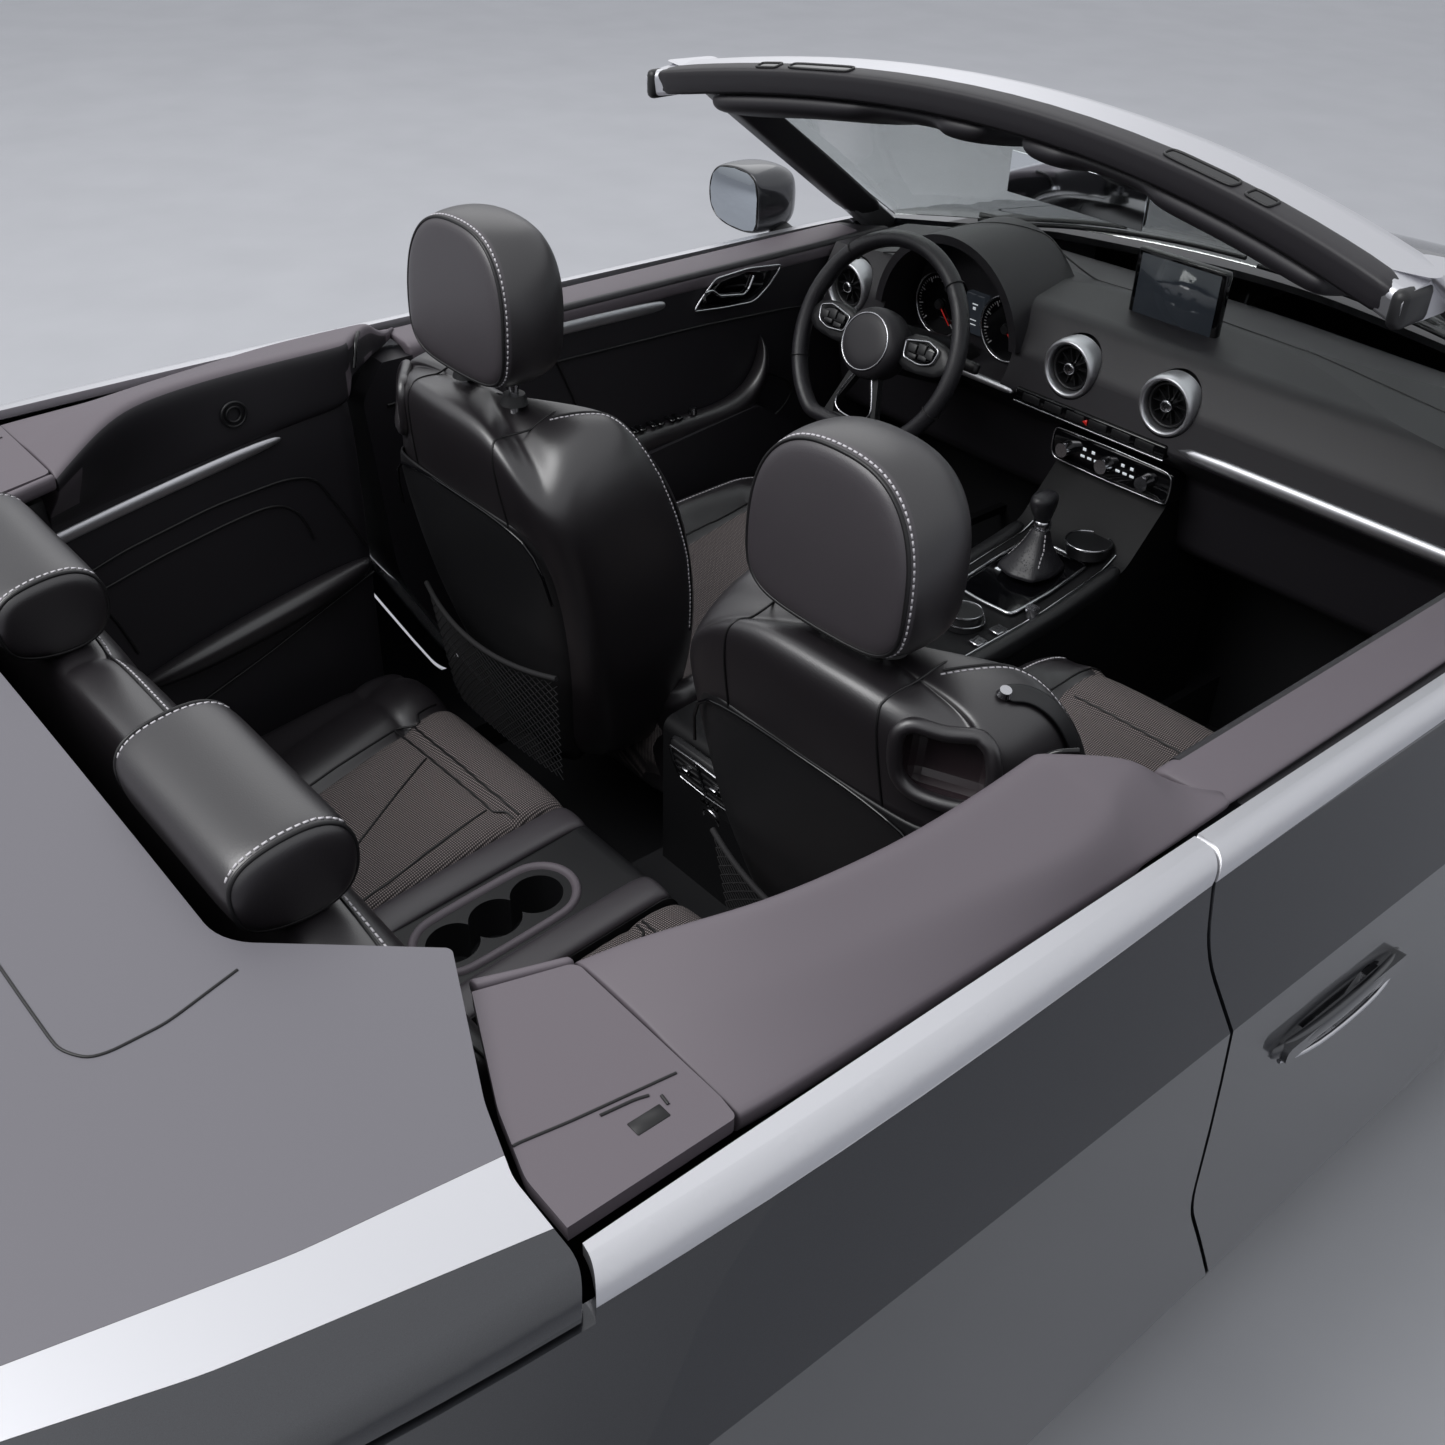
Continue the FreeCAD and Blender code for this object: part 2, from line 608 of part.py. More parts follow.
# Wheels
def revolve_x(points, x, y, z):
    """A profile of (across, radius) turned about an axis along X through (x, y, z)."""
    wire = outline([(x + p[0], y + p[1]) + tuple(p[2:]) for p in points], "xy", z)
    return Part.Face(wire).revolve(V(x, y, z), V(1, 0, 0), 360)


half_tyre = tyre_width / 2
TYRE = [(-half_tyre + 8, rim_radius, 4), (-half_tyre, rim_radius + 36, 20), (-half_tyre + 6, tyre_radius - 14),
        (-half_tyre + 24, tyre_radius), (half_tyre - 24, tyre_radius), (half_tyre - 6, tyre_radius - 14),
        (half_tyre, rim_radius + 36, 20), (half_tyre - 8, rim_radius, 4)]
barrel_half = half_tyre - 6
BARREL = [(-barrel_half, rim_radius - seat_gap), (-barrel_half, rim_radius - 16), (-barrel_half + 30, rim_radius - 22),
          (barrel_half - 10, rim_radius - 18), (barrel_half, rim_radius - 16), (barrel_half, rim_radius - seat_gap)]


def wheel(x, y, side):
    """Tyre, and a rim of paired spokes with its brake disc, facing outwards on one side."""
    z = tyre_radius
    tyre = revolve_x(TYRE, x, y, z)
    barrel = revolve_x(BARREL, x, y, z)
    face = side * rim_offset
    hub = cylinder(hub_radius, (x + face - side * 2, y, z), (side, 0, 0), spoke_depth)
    spokes = []
    for i in range(spoke_pairs):
        for lean in (-spoke_half_angle, spoke_half_angle):
            arm = box(x + min(face, face + side * spoke_depth), x + max(face, face + side * spoke_depth),
                      y - spoke_width / 2, y + spoke_width / 2, z + hub_radius - 20, z + rim_radius - 17)
            arm.rotate(V(x, y, z), V(1, 0, 0), i * 360 / spoke_pairs + lean)
            spokes.append(arm)
    disc_face = x + face - side * 35
    disc = cylinder(disc_radius, (disc_face - side * disc_thickness, y, z), (side, 0, 0), disc_thickness)
    hat = cylinder(hub_radius, (disc_face - side, y, z), (side, 0, 0), 35)
    bore = cylinder(hub_bore_radius, (x - side * 200, y, z), (side, 0, 0), 200 + rim_offset)
    rim = fuse([barrel, hub, hat, disc] + spokes).cut(bore)
    return tyre, rim


def carrier(x, y, side):
    """Stub axle, hub carrier and brake caliper, inboard of the disc."""
    z = tyre_radius
    disc_back = x + side * (rim_offset - 35 - disc_thickness)
    stub = cylinder(hub_bore_radius - axle_clearance, (disc_back - side * 30, y, z), (side, 0, 0), 50)
    upright = cylinder(62, (disc_back - side * 36, y, z), (side, 0, 0), 30)
    clamp_x = sorted([disc_back - side * 36, disc_back + side * (disc_thickness + 22)])
    clamp = box(clamp_x[0], clamp_x[1], y + 95, y + 180, z - 55, z + 55)
    slot_x = sorted([disc_back - side * 6, disc_back + side * (disc_thickness + 6)])
    clamp = clamp.cut(box(slot_x[0], slot_x[1], y + 90, y + disc_radius + 6, z - 60, z + 60))
    bridge_x = sorted([disc_back - side * 36, disc_back - side * 12])
    bridge = box(bridge_x[0], bridge_x[1], y + 40, y + 110, z - 30, z + 30)
    return [stub, upright, clamp, bridge]


for axle, axle_y, track in (("front", front_axle_y, front_track), ("rear", rear_axle_y, rear_track)):
    for name, side in (("left", 1), ("right", -1)):
        tyre, rim = wheel(side * track / 2, axle_y, side)
        add("tyre_" + axle + "_" + name, tyre)
        add("rim_" + axle + "_" + name, rim)

kingpin_x = front_track / 2 - steer_offset
ball_z = tyre_radius - 128
knuckle = fuse(carrier(front_track / 2, front_axle_y, 1) + [
    box(kingpin_x - 22, kingpin_x + 10, front_axle_y - 25, front_axle_y + 25, ball_z, tyre_radius),
])
add("knuckle_left", knuckle)
add("knuckle_right", mirrored(knuckle))

arm = fuse([
    cylinder(24, (kingpin_x - 6, front_axle_y, ball_z - 24 - seat_gap), (0, 0, 1), 24),
    box(330, kingpin_x - 6, front_axle_y - 20, front_axle_y + 20, ball_z - 24 - seat_gap, ball_z - 4 - seat_gap),
])
cradle = fuse([
    box(-400, 400, front_axle_y - 20, front_axle_y + 60, 168, 210),
    box(-400, -340, front_axle_y - 200, firewall_y - 120, 168, 210),
    box(340, 400, front_axle_y - 200, firewall_y - 120, 168, 210),
    box(-400, 400, firewall_y - 180, firewall_y - 120, 168, 210),
    box(395, 425, front_axle_y + 150, front_axle_y + 190, 168, 420),
    box(-425, -395, front_axle_y + 150, front_axle_y + 190, 168, 420),
    box(385, 425, front_axle_y + 150, front_axle_y + 190, 168, 200),
    box(-425, -385, front_axle_y + 150, front_axle_y + 190, 168, 200),
    arm, mirrored(arm)])
add("front_subframe", cradle)

rear_parts = []
for side in (1, -1):
    rear_parts += carrier(side * rear_track / 2, rear_axle_y, side)
rear_x = rear_track / 2 - 44
rear_axle = fuse(rear_parts + [
    box(-rear_x, rear_x, rear_axle_y - 30, rear_axle_y + 30, 285, 329.7),
    box(-600, -560, rear_axle_y - 300, rear_axle_y + 30, 270, 299.7),
    box(560, 600, rear_axle_y - 300, rear_axle_y + 30, 270, 299.7)])
add("rear_axle", rear_axle)
add("engine_block", box(-320, 320, front_axle_y - 260, front_axle_y + 180, 210 + seat_gap, 760))

pipe_z = 240.0
silencer = cylinder(78, (-420, tail_y - 300, 252 - seat_gap), (1, 0, 0), 840)
tail_pipe = cylinder(30, (-400, tail_y - 300, 235), (0, 1, 0), 195)
pipe_start = front_axle_y + 180 + seat_gap
add("exhaust", fuse([cylinder(27, (-10, pipe_start, pipe_z), (0, 1, 0), tail_y - 300 - pipe_start), silencer, tail_pipe]))

# Cabin
DASH = [(-880, 945, 12), (-640, 992, 120), (-520, 975, 40), (-478, 905, 60), (-462, 838, 8), (-530, 780, 30),
        (-560, 640, 40), (-690, 560, 40), (firewall_y + seat_gap, 560), (firewall_y + seat_gap, 908), (-880, 908, 10)]
dash_half = door_trim_x - 10
dash = prism(DASH, "yz", -dash_half, dash_half)
dash_plan = [(-dash_half, -440), (-dash_half, -700), (-450, glass_base_y + 105), (0, glass_base_y + 45, 800),
             (450, glass_base_y + 105), (dash_half, -700), (dash_half, -440)]
dash_front = [(-dash_half, 540), (dash_half, 540), (dash_half, 958), (0, 1006, 5000), (-dash_half, 958)]
dash = dash.common(prism(dash_plan, "xy", 500, 1100)).common(prism(dash_front, "xz", -950, -400))
hood_x = wheel_centre[0]
hood = cylinder(165, (hood_x, -640, 888), (0, 1, 0), 175).common(box(0, 700, -700, -400, 900, 1100))
hood_hole = cylinder(150, (hood_x, -560, 888), (0, 1, 0), 200).common(box(0, 700, -700, -400, 840, 1100))
dash = fuse([dash, hood]).cut(hood_hole)
VENTS = [(-610, 900), (-95, 907), (95, 907), (610, 900)]
vents = []
for x, z in VENTS:
    ring = cylinder(50, (x, -500, z), (0, 1, 0), 32)
    dash = dash.cut(cylinder(50 + seat_gap, (x, -530, z), (0, 1, 0), 100))
    vents.append(ring.cut(cylinder(38, (x, -490, z), (0, 1, 0), 60)))
add("air_vents", Part.makeCompound(vents))
add("dashboard", dash)
dials = []
for dx in (-78, 78):
    dials.append(cylinder(58, (hood_x + dx, -560 + seat_gap, 900), (0, 1, 0), 16))
add("instruments", Part.makeCompound(dials))
screen = prism([(-78, 970), (78, 970), (78, 1085, 8), (-78, 1085, 8)], "xz", -606, -596)
add("screen", screen.cut(dash))

console_half = 112.0
CONSOLE = [(-700, tunnel_top, 0), (-558, tunnel_top, 0), (354, tunnel_top, 0), (354, 560, 20), (60, 590, 60),
           (-240, 610, 60), (-420, 640, 60), (-530, 760, 20), (-560, 700, 0), (-700, 555, 0)]
console = prism([p if p[2] else p[:2] for p in CONSOLE], "yz", -console_half, console_half).cut(dash)
console = console.cut(box(-45, 45, 60, 300, 480, 620))
add("centre_console", solids(console)[0])
knob = (0.0, -335.0, 735.0)
lever = fuse([Part.makeSphere(24, V(*knob)), cylinder(7, (0, -335, 640), (0, 0, 1), 90),
              Part.makeCone(42, 14, 60, V(0, -335, 632), V(0, 0, 1))]).cut(console)
add("gear_lever", solids(lever)[0])

lean = math.radians(wheel_lean)
axis = V(0, -math.cos(lean), -math.sin(lean))
centre = V(*wheel_centre)
grip = Part.makeTorus(wheel_rim_radius - wheel_grip_radius, wheel_grip_radius, centre, axis)
hub = Part.makeCylinder(62, 46, centre - axis * 12, axis)
arms = []
for angle in (90, -90, 180):
    spoke = box(centre.x - 22, centre.x + 22, centre.y - 9, centre.y + 9, centre.z + 50, centre.z + 172)
    spoke.rotate(centre, V(0, 1, 0), angle)
    spoke.rotate(centre, V(1, 0, 0), wheel_lean)
    arms.append(spoke)
steering = fuse([grip, hub] + arms)
boss = 34.0
add("steering_wheel", steering)
column = Part.makeCylinder(42, 210, centre + axis * (boss + seat_gap), axis).cut(dash)
add("steering_column", solids(column)[0])

pedals = []
for x, w in ((430, 55), (330, 70)):
    pad = box(x - w / 2, x + w / 2, -640, -630, 330, 420)
    hang = box(x - 8, x + 8, firewall_y, -630, 420, 436).fuse(box(x - 8, x + 8, -640, -630, 400, 436))
    pedals.append(pad.fuse(hang))
add("pedals", Part.makeCompound(pedals))


def soft(points, x, half, dy, dz):
    """A plain padded form: a side profile (y, z), moved as its seat is set, between two x."""
    return prism([(p[0] + dy, p[1] + dz) + tuple(p[2:]) for p in points], "yz", x - half, x + half)


CUSHION = [(-240, 578, 60), (-225, 320, 30), (330, 305, 20), (310, 480, 20), (80, 530, 90)]
BACK = [(290, 395, 20), (430, 985, 50), (520, 1005, 40), (565, 980, 30), (480, 400, 40)]
HEADREST = [(440, 1030, 30), (425, 1180, 80), (470, 1250, 40), (530, 1240, 40), (545, 1130, 60), (520, 1025, 20)]
# name, across, how far back and up the seat is set, how far back and up its headrest is set
SEATS = [
    ("left", 375, -35, 0, -42, 5),
    ("right", -366, 0, -12, -8, -28),
]
for name, x, dy, dz, rest_dy, rest_dz in SEATS:
    add("seat_" + name, fuse([soft(CUSHION, x, seat_width / 2, dy, dz), soft(BACK, x, seat_width / 2, dy, dz)]))
rests = [soft(HEADREST, x, headrest_width / 2, rest_dy, rest_dz) for name, x, dy, dz, rest_dy, rest_dz in SEATS]
stems = []
rails = []
for name, x, dy, dz, rest_dy, rest_dz in SEATS:
    for dx in (-60, 60):
        stems.append(cylinder(7, (x + dx, 485 + dy, 940), (0, 0, 1), 110))
    for dx in (-190, 190):
        rails.append(box(x + dx - 20, x + dx + 20, -150, 300 + dy, floor_z, 340))
seats = Part.makeCompound([s for n in ("seat_left", "seat_right") for s in parts[n].Solids])
add("front_headrests", fuse(rests + stems).cut(seats))
add("seat_runners", Part.makeCompound(rails).cut(seats).cut(parts["body_shell"]))

pan_z = 308.0 + seat_gap
REAR_CUSHION = [(506, 492, 45), (506, 330, 10), (530, pan_z, 0), (1000, pan_z, 0), (980, 430, 30)]
REAR_BACK = [(900, 440, 40), (1075, 955, 40), (1150, 950, 40), (1150, 330, 0), (1010, 312, 0)]
console_gap = 3.0
rear_half = 600.0
rear_inner = 125.0
cushion_points = [p if p[2] else p[:2] for p in REAR_CUSHION]
cushion = prism(cushion_points, "yz", rear_inner + console_gap, rear_half)
add("rear_cushions", both_sides(cushion))
rear_console = prism([(530, pan_z), (880, pan_z), (880, 445, 20), (515, 478, 30), (515, 330)], "yz",
                     -rear_inner, rear_inner)
for i in range(3):
    rear_console = rear_console.cut(cylinder(36, (0, 660 + i * 66, 395), (0, 0, 1), 120))
back = prism([p if p[2] else p[:2] for p in REAR_BACK], "yz", -rear_half, rear_half)
back = back.cut(parts["rear_cushions"]).cut(rear_console).cut(both_sides(box(500, 700, 1000, 1200, 936, 1000)))
add("rear_console", rear_console)
add("rear_backrest", solids(back)[0])
roll = [(1085, 960, 20), (1070, 1030, 40), (1120, 1050, 40), (1195, 1020, 30), (1190, 965, 20)]
rolls = [prism(roll, "yz", x - 120, x + 120) for x in (265, -265)]
rolls = fuse(rolls + [cylinder(7, (x + dx, 1135, 900), (0, 0, 1), 80) for x in (265, -265) for dx in (-50, 50)])
add("rear_headrests", rolls.cut(back))

# Trims of the rear cabin: side walls, top trims that rise to a wing, and the flaps beside the lid
wall_inner = 640.0
trim_low = 931.0
side_wall = prism([(door_rear_y + 70, 300, 0), (600, 309, 0), (1020, 309), (1120, 700), (1100, 935, 0),
                   (door_rear_y + 70, 935, 0)], "yz", wall_inner, wall_inner + 60)
side_wall = side_wall.cut(parts["body_shell"])
# along; inner edge; height and place of the crest; outer edge and its height
TRIM_SECTIONS = [
    (376, 690, 966, 745, trim_outer_x, 962),
    (418, 660, 968, 735, trim_outer_x, 962),
    (452, 640, 1008, 700, trim_outer_x, 962),
    (520, 640, 1010, 702, trim_outer_x, 962),
    (600, 634, 1000, 720, trim_outer_x, 962),
    (700, 624, 985, 740, trim_outer_x, 962),
    (830, 592, 968, 752, trim_outer_x - 3, 962),
    (985, 557, 964, 750, trim_outer_x - 8, 960),
]
wires = [outline([(x0, trim_low), (x0, z0, 4), (x1, z0, 8), (x2, z2, 4), (x2, trim_low)], "xz", y)
         for y, x0, z0, x1, x2, z2 in TRIM_SECTIONS]
top_trim = Part.makeLoft(wires, True, True)
WING_PLAN = [(500, 300), (790, 300), (790, 377), (766, 377), (726, 416), (701, 451), (655, 502), (636, 522), (500, 522)]
top_trim = top_trim.cut(prism(WING_PLAN, "xy", 900, TOP)).cut(box(600, 800, 370, door_rear_y + 17, 900, 947))
ledge = box(trim_outer_x - 10, belt_inner_x - 1, door_rear_y + 17, lid_side_front_y + 77, trim_low, 948)
FLAP = [(570, 987, 12), (750, 987, 12), (772, 990, 6), (772, 1150), (509, 1150), (545, 1072, 6)]
flap = prism(FLAP, "xy", 948, 962).cut(prism(TOP_LID, "xy", 900, TOP, lid_gap))
flap = max(solids(flap), key=lambda s: s.Volume)
add("rear_side_trims", both_sides(fuse([max(solids(side_wall), key=lambda s: s.Volume), top_trim, ledge])))
add("side_flaps", both_sides(flap))

os.makedirs("parts", exist_ok=True)
for name, shape in parts.items():
    shape.exportStep("parts/" + name + ".step")
for name in sorted(parts):
    b = parts[name].BoundBox
    print(name, len(parts[name].Solids), parts[name].isValid(), round(parts[name].Volume / 1e6, 2),
          [round(v) for v in (b.XMin, b.XMax, b.YMin, b.YMax, b.ZMin, b.ZMax)])
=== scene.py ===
import math

import bmesh
import bpy
from mathutils import Matrix, Vector
from mathutils.bvhtree import BVHTree


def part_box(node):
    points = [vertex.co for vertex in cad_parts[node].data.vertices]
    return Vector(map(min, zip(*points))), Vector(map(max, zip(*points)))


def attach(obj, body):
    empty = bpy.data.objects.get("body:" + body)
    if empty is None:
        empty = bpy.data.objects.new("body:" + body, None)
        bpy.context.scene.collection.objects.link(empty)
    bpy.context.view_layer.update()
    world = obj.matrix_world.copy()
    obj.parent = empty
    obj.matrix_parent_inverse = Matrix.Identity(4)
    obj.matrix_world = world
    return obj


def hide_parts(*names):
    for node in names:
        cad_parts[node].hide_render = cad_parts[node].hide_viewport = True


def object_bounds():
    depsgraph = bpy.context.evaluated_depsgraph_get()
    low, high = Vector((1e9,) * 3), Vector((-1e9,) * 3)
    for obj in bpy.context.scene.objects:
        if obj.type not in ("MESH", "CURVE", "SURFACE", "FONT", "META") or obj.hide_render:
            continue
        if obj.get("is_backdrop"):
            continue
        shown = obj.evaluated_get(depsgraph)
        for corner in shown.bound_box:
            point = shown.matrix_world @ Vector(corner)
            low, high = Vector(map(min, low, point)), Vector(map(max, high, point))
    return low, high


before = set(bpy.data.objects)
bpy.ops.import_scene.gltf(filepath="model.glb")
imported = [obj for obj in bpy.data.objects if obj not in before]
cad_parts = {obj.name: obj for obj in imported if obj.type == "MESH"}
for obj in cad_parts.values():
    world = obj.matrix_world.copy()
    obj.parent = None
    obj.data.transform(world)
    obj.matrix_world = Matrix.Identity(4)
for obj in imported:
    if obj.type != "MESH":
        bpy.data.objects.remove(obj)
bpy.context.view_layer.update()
scene = bpy.context.scene

# The viewpoint: a person standing beside the right rear wheel, looking down and forward into the cabin.
# The angles are the direction of the line of sight, turned from +X, and its tilt below the horizon.
eye = Vector((-1.310, 1.489, 1.817))
turn, tilt, roll = math.radians(-41.33), math.radians(34.75), math.radians(1.79)
sight = Vector((math.cos(turn) * math.cos(tilt), math.sin(turn) * math.cos(tilt), -math.sin(tilt)))
level = Vector((math.sin(turn), -math.cos(turn), 0))
upward = level.cross(sight)
across = level * math.cos(roll) + upward * math.sin(roll)
upward = upward * math.cos(roll) - level * math.sin(roll)
camera_data = bpy.data.cameras.new("camera")
camera_data.sensor_width = 36.0
camera_data.lens = 37.6
camera_data.clip_start = 0.05
camera = bpy.data.objects.new("camera", camera_data)
camera.matrix_world = Matrix((
    (across.x, upward.x, -sight.x, eye.x),
    (across.y, upward.y, -sight.y, eye.y),
    (across.z, upward.z, -sight.z, eye.z),
    (0, 0, 0, 1)))
scene.collection.objects.link(camera)
scene.camera = camera
scene.view_settings.view_transform = "Standard"

# The studio: a pale floor, a pale sky for the glossy panels to reflect, and soft lamps above the car.
floor_half, key_power, fill_power = 60.0, 290.0, 60.0


def node(tree, kind, settings=None, links=None):
    """Adds a shader node. Settings are properties or input values, links are (input, source socket)."""
    made = tree.nodes.new(kind)
    for key, value in (settings or {}).items():
        if isinstance(key, str) and hasattr(made, key):
            setattr(made, key, value)
        else:
            made.inputs[key].default_value = value
    for key, source in (links or {}).items():
        tree.links.new(source, made.inputs[key])
    return made


def new_material(name, settings):
    """A material with one principled shader and its settings."""
    made = bpy.data.materials.new(name)
    made.use_nodes = True
    tree = made.node_tree
    tree.nodes.clear()
    shader = node(tree, "ShaderNodeBsdfPrincipled", settings)
    node(tree, "ShaderNodeOutputMaterial", links={"Surface": shader.outputs["BSDF"]})
    return made, tree, shader


floor_material, tree, shader = new_material("pale_concrete_floor", {"Roughness": 0.9})
grain = node(tree, "ShaderNodeTexNoise", {"Scale": 3.0, "Detail": 6.0},
             {"Vector": node(tree, "ShaderNodeTexCoord").outputs["Object"]})


def linear(hex_colour):
    """An sRGB hex colour as linear red, green, blue and alpha."""
    parts = [int(hex_colour[i:i + 2], 16) / 255 for i in (1, 3, 5)]
    return tuple(c / 12.92 if c <= 0.04045 else ((c + 0.055) / 1.055) ** 2.4 for c in parts) + (1.0,)


def toned(tree, source, stops):
    """A ramp over a value. Each stop is a place and a colour, in rising order."""
    made = node(tree, "ShaderNodeValToRGB", links={"Fac": source})
    ends = made.color_ramp.elements
    for element, (place, colour) in ((ends[0], stops[0]), (ends[1], stops[-1])):
        element.position = place
        element.color = linear(colour)
    for place, colour in stops[1:-1]:
        ends.new(place).color = linear(colour)
    return made


tones = toned(tree, grain.outputs["Fac"], [(0, "#A6A7AB"), (1, "#B2B3B7")])
tree.links.new(tones.outputs["Color"], shader.inputs["Base Color"])
floor_mesh = bmesh.new()
bmesh.ops.create_grid(floor_mesh, x_segments=1, y_segments=1, size=floor_half)
floor = bpy.data.objects.new("floor", bpy.data.meshes.new("floor"))
floor_mesh.to_mesh(floor.data)
floor_mesh.free()
floor.data.materials.append(floor_material)
scene.collection.objects.link(floor)
floor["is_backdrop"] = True
world = bpy.data.worlds.new("sky")
scene.world = world
world.use_nodes = True
tree = world.node_tree
tree.nodes.clear()
outward = node(tree, "ShaderNodeTexCoord").outputs["Generated"]
direction = node(tree, "ShaderNodeSeparateXYZ", links={"Vector": outward})
height = toned(tree, direction.outputs["Z"], [(0, "#2E2F31"), (0.35, "#5E6063"), (0.75, "#E4E6EB"),
                                              (1, "#F4F6FA")])
mirrored_height = toned(tree, direction.outputs["Z"], [(0, "#B4B6BB"), (0.25, "#E2E4E8"), (1, "#F2F4F7")])
rays = node(tree, "ShaderNodeLightPath").outputs
seen = node(tree, "ShaderNodeMath", {"operation": "MAXIMUM"},
            {0: rays["Is Camera Ray"], 1: rays["Is Glossy Ray"]})
seen = node(tree, "ShaderNodeMath", {"operation": "MAXIMUM"},
            {0: seen.outputs[0], 1: rays["Is Transmission Ray"]})
light_sky = node(tree, "ShaderNodeBackground", {"Strength": 1.35}, {"Color": height.outputs["Color"]})
seen_sky = node(tree, "ShaderNodeBackground", {"Strength": 0.95},
                {"Color": mirrored_height.outputs["Color"]})
sky = node(tree, "ShaderNodeMixShader",
           links={0: seen.outputs[0], 1: light_sky.outputs[0], 2: seen_sky.outputs[0]})
node(tree, "ShaderNodeOutputWorld", links={"Surface": sky.outputs[0]})
# name, place, aim, size, power
LAMPS = [
    ("key_lamp", (1.6, 4.6, 5.6), (0, 0.3, 0.8), 4.0, key_power),
    ("fill_lamp", (4.5, -2.5, 5.0), (0, -0.2, 0.8), 5.0, fill_power),
]
for name, place, aim, size, power in LAMPS:
    lamp = bpy.data.lights.new(name, "AREA")
    lamp.size, lamp.energy = size, power
    holder = bpy.data.objects.new(name, lamp)
    holder.location = place
    holder.rotation_euler = (Vector(aim) - Vector(place)).to_track_quat("-Z", "Y").to_euler()
    scene.collection.objects.link(holder)

# The painted panels: pressed steel under a dark grey base coat and a clear lacquer that is polished smooth.
paint, tree, shader = new_material("metallic_lacquer", {
    "Base Color": linear("#2A2B2F"), "Metallic": 0.7, "Roughness": 0.36, "Coat Weight": 1.0,
    "Coat Roughness": 0.02, "Coat IOR": 1.5})
flake = node(tree, "ShaderNodeTexNoise", {"Scale": 2600.0, "Detail": 1.0},
             {"Vector": node(tree, "ShaderNodeTexCoord").outputs["Object"]})
tones = toned(tree, flake.outputs["Fac"], [(0, "#26272A"), (1, "#404146")])
tree.links.new(tones.outputs["Color"], shader.inputs["Base Color"])


def dress(material, *nodes):
    """Gives CAD nodes one finish."""
    for name in nodes:
        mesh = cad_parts[name].data
        mesh.materials.clear()
        mesh.materials.append(material)


dress(paint, "bonnet", "boot_lid", "front_bumper", "front_wings", "side_panels", "rear_bumper",
      "top_lid_edge", "door_panel_left", "door_panel_right", "door_mirror_left", "door_mirror_right")

# The bright trim: extruded and stretch-bent aluminium strips, satin anodised, clipped along the belt line.


def grained(name, settings, scale, strength, distance, detail=2.0):
    """A material whose surface has a fine moulded or natural grain."""
    made, tree, shader = new_material(name, settings)
    place = node(tree, "ShaderNodeTexCoord").outputs["Object"]
    cells = node(tree, "ShaderNodeTexNoise", {"Scale": scale, "Detail": detail}, {"Vector": place})
    raised = node(tree, "ShaderNodeBump", {"Strength": strength, "Distance": distance},
                  {"Height": cells.outputs["Fac"]})
    tree.links.new(raised.outputs["Normal"], shader.inputs["Normal"])
    return made


brushed = grained("anodised_aluminium", {"Base Color": linear("#CFCFD3"), "Metallic": 1.0,
                                         "Roughness": 0.42}, 420.0, 0.05, 0.0002)
dress(brushed, "windscreen_frame", "quarter_strips", "door_strip_left", "door_strip_right", "top_lid_strip")


def plain(name, colour, roughness, metallic=0.0):
    """A smooth material of one colour."""
    return new_material(name, {"Base Color": linear(colour), "Metallic": metallic,
                               "Roughness": roughness})[0]


polished = plain("satin_chrome", "#C2C2C6", 0.18, 1.0)
dress(polished, "air_vents")

# The soft-touch and moulded plastics of lid, trims and dash: injection moulded skins with a fine grain.
lid_skin = grained("soft_touch_lid", {"Base Color": linear("#66646A"), "Roughness": 0.5,
                                      "Specular IOR Level": 0.6}, 1500.0, 0.12, 0.0003)
dress(lid_skin, "top_lid")
soft_skin = grained("soft_touch_skin", {"Base Color": linear("#60595F"), "Roughness": 0.55}, 1500.0, 0.15,
                    0.0003)
dress(soft_skin, "rear_side_trims", "side_flaps")
dash_skin = grained("grained_dash_skin", {"Base Color": linear("#211F23"), "Roughness": 0.5}, 1300.0, 0.2,
                    0.0004)
dress(dash_skin, "door_trim_left", "door_trim_right", "dashboard", "header_trim")
black = grained("moulded_black", {"Base Color": linear("#161618"), "Roughness": 0.45}, 1300.0, 0.12, 0.0003)
deep_black = grained("moulded_deep_black", {"Base Color": linear("#0D0D0F"), "Roughness": 0.6,
                                            "Specular IOR Level": 0.25}, 1300.0, 0.12, 0.0003)
dress(deep_black, "centre_console")
dress(black, "cowl_panel", "grille", "rear_console", "steering_column", "pedals",
      "engine_block", "seat_runners")
gloss = plain("gloss_black", "#08080A", 0.06)
dress(gloss, "instruments", "screen")
steel = grained("primed_body_steel", {"Base Color": linear("#1B1B1D"), "Roughness": 0.5}, 200.0, 0.1,
                0.0004)
dress(steel, "body_shell", "front_subframe", "rear_axle", "knuckle_left", "knuckle_right", "exhaust")
glass = new_material("laminated_glass", {
    "Base Color": linear("#F2F7F5"), "Roughness": 0.0, "Transmission Weight": 1.0, "IOR": 1.45})[0]
dress(glass, "windscreen", "headlamps")
red = plain("red_lens", "#7A0A10", 0.08)
dress(red, "tail_lamps")
red_deep = plain("red_lens_band", "#3A0408", 0.15)
lamp_white = plain("opal_light_guide", "#E6E9EC", 0.25)
steel_bright = plain("zinc_plated_steel", "#8C8E92", 0.32, 1.0)
rubber = grained("tyre_rubber", {"Base Color": linear("#151516"), "Roughness": 0.75}, 300.0, 0.2, 0.0004)
alloy = plain("wheel_alloy", "#A8A9AC", 0.3, 1.0)
leather = grained("grained_leather", {"Base Color": linear("#1D1A1D"), "Roughness": 0.36,
                                      "Specular IOR Level": 1.0}, 750.0, 0.22, 0.0006, 4.0)
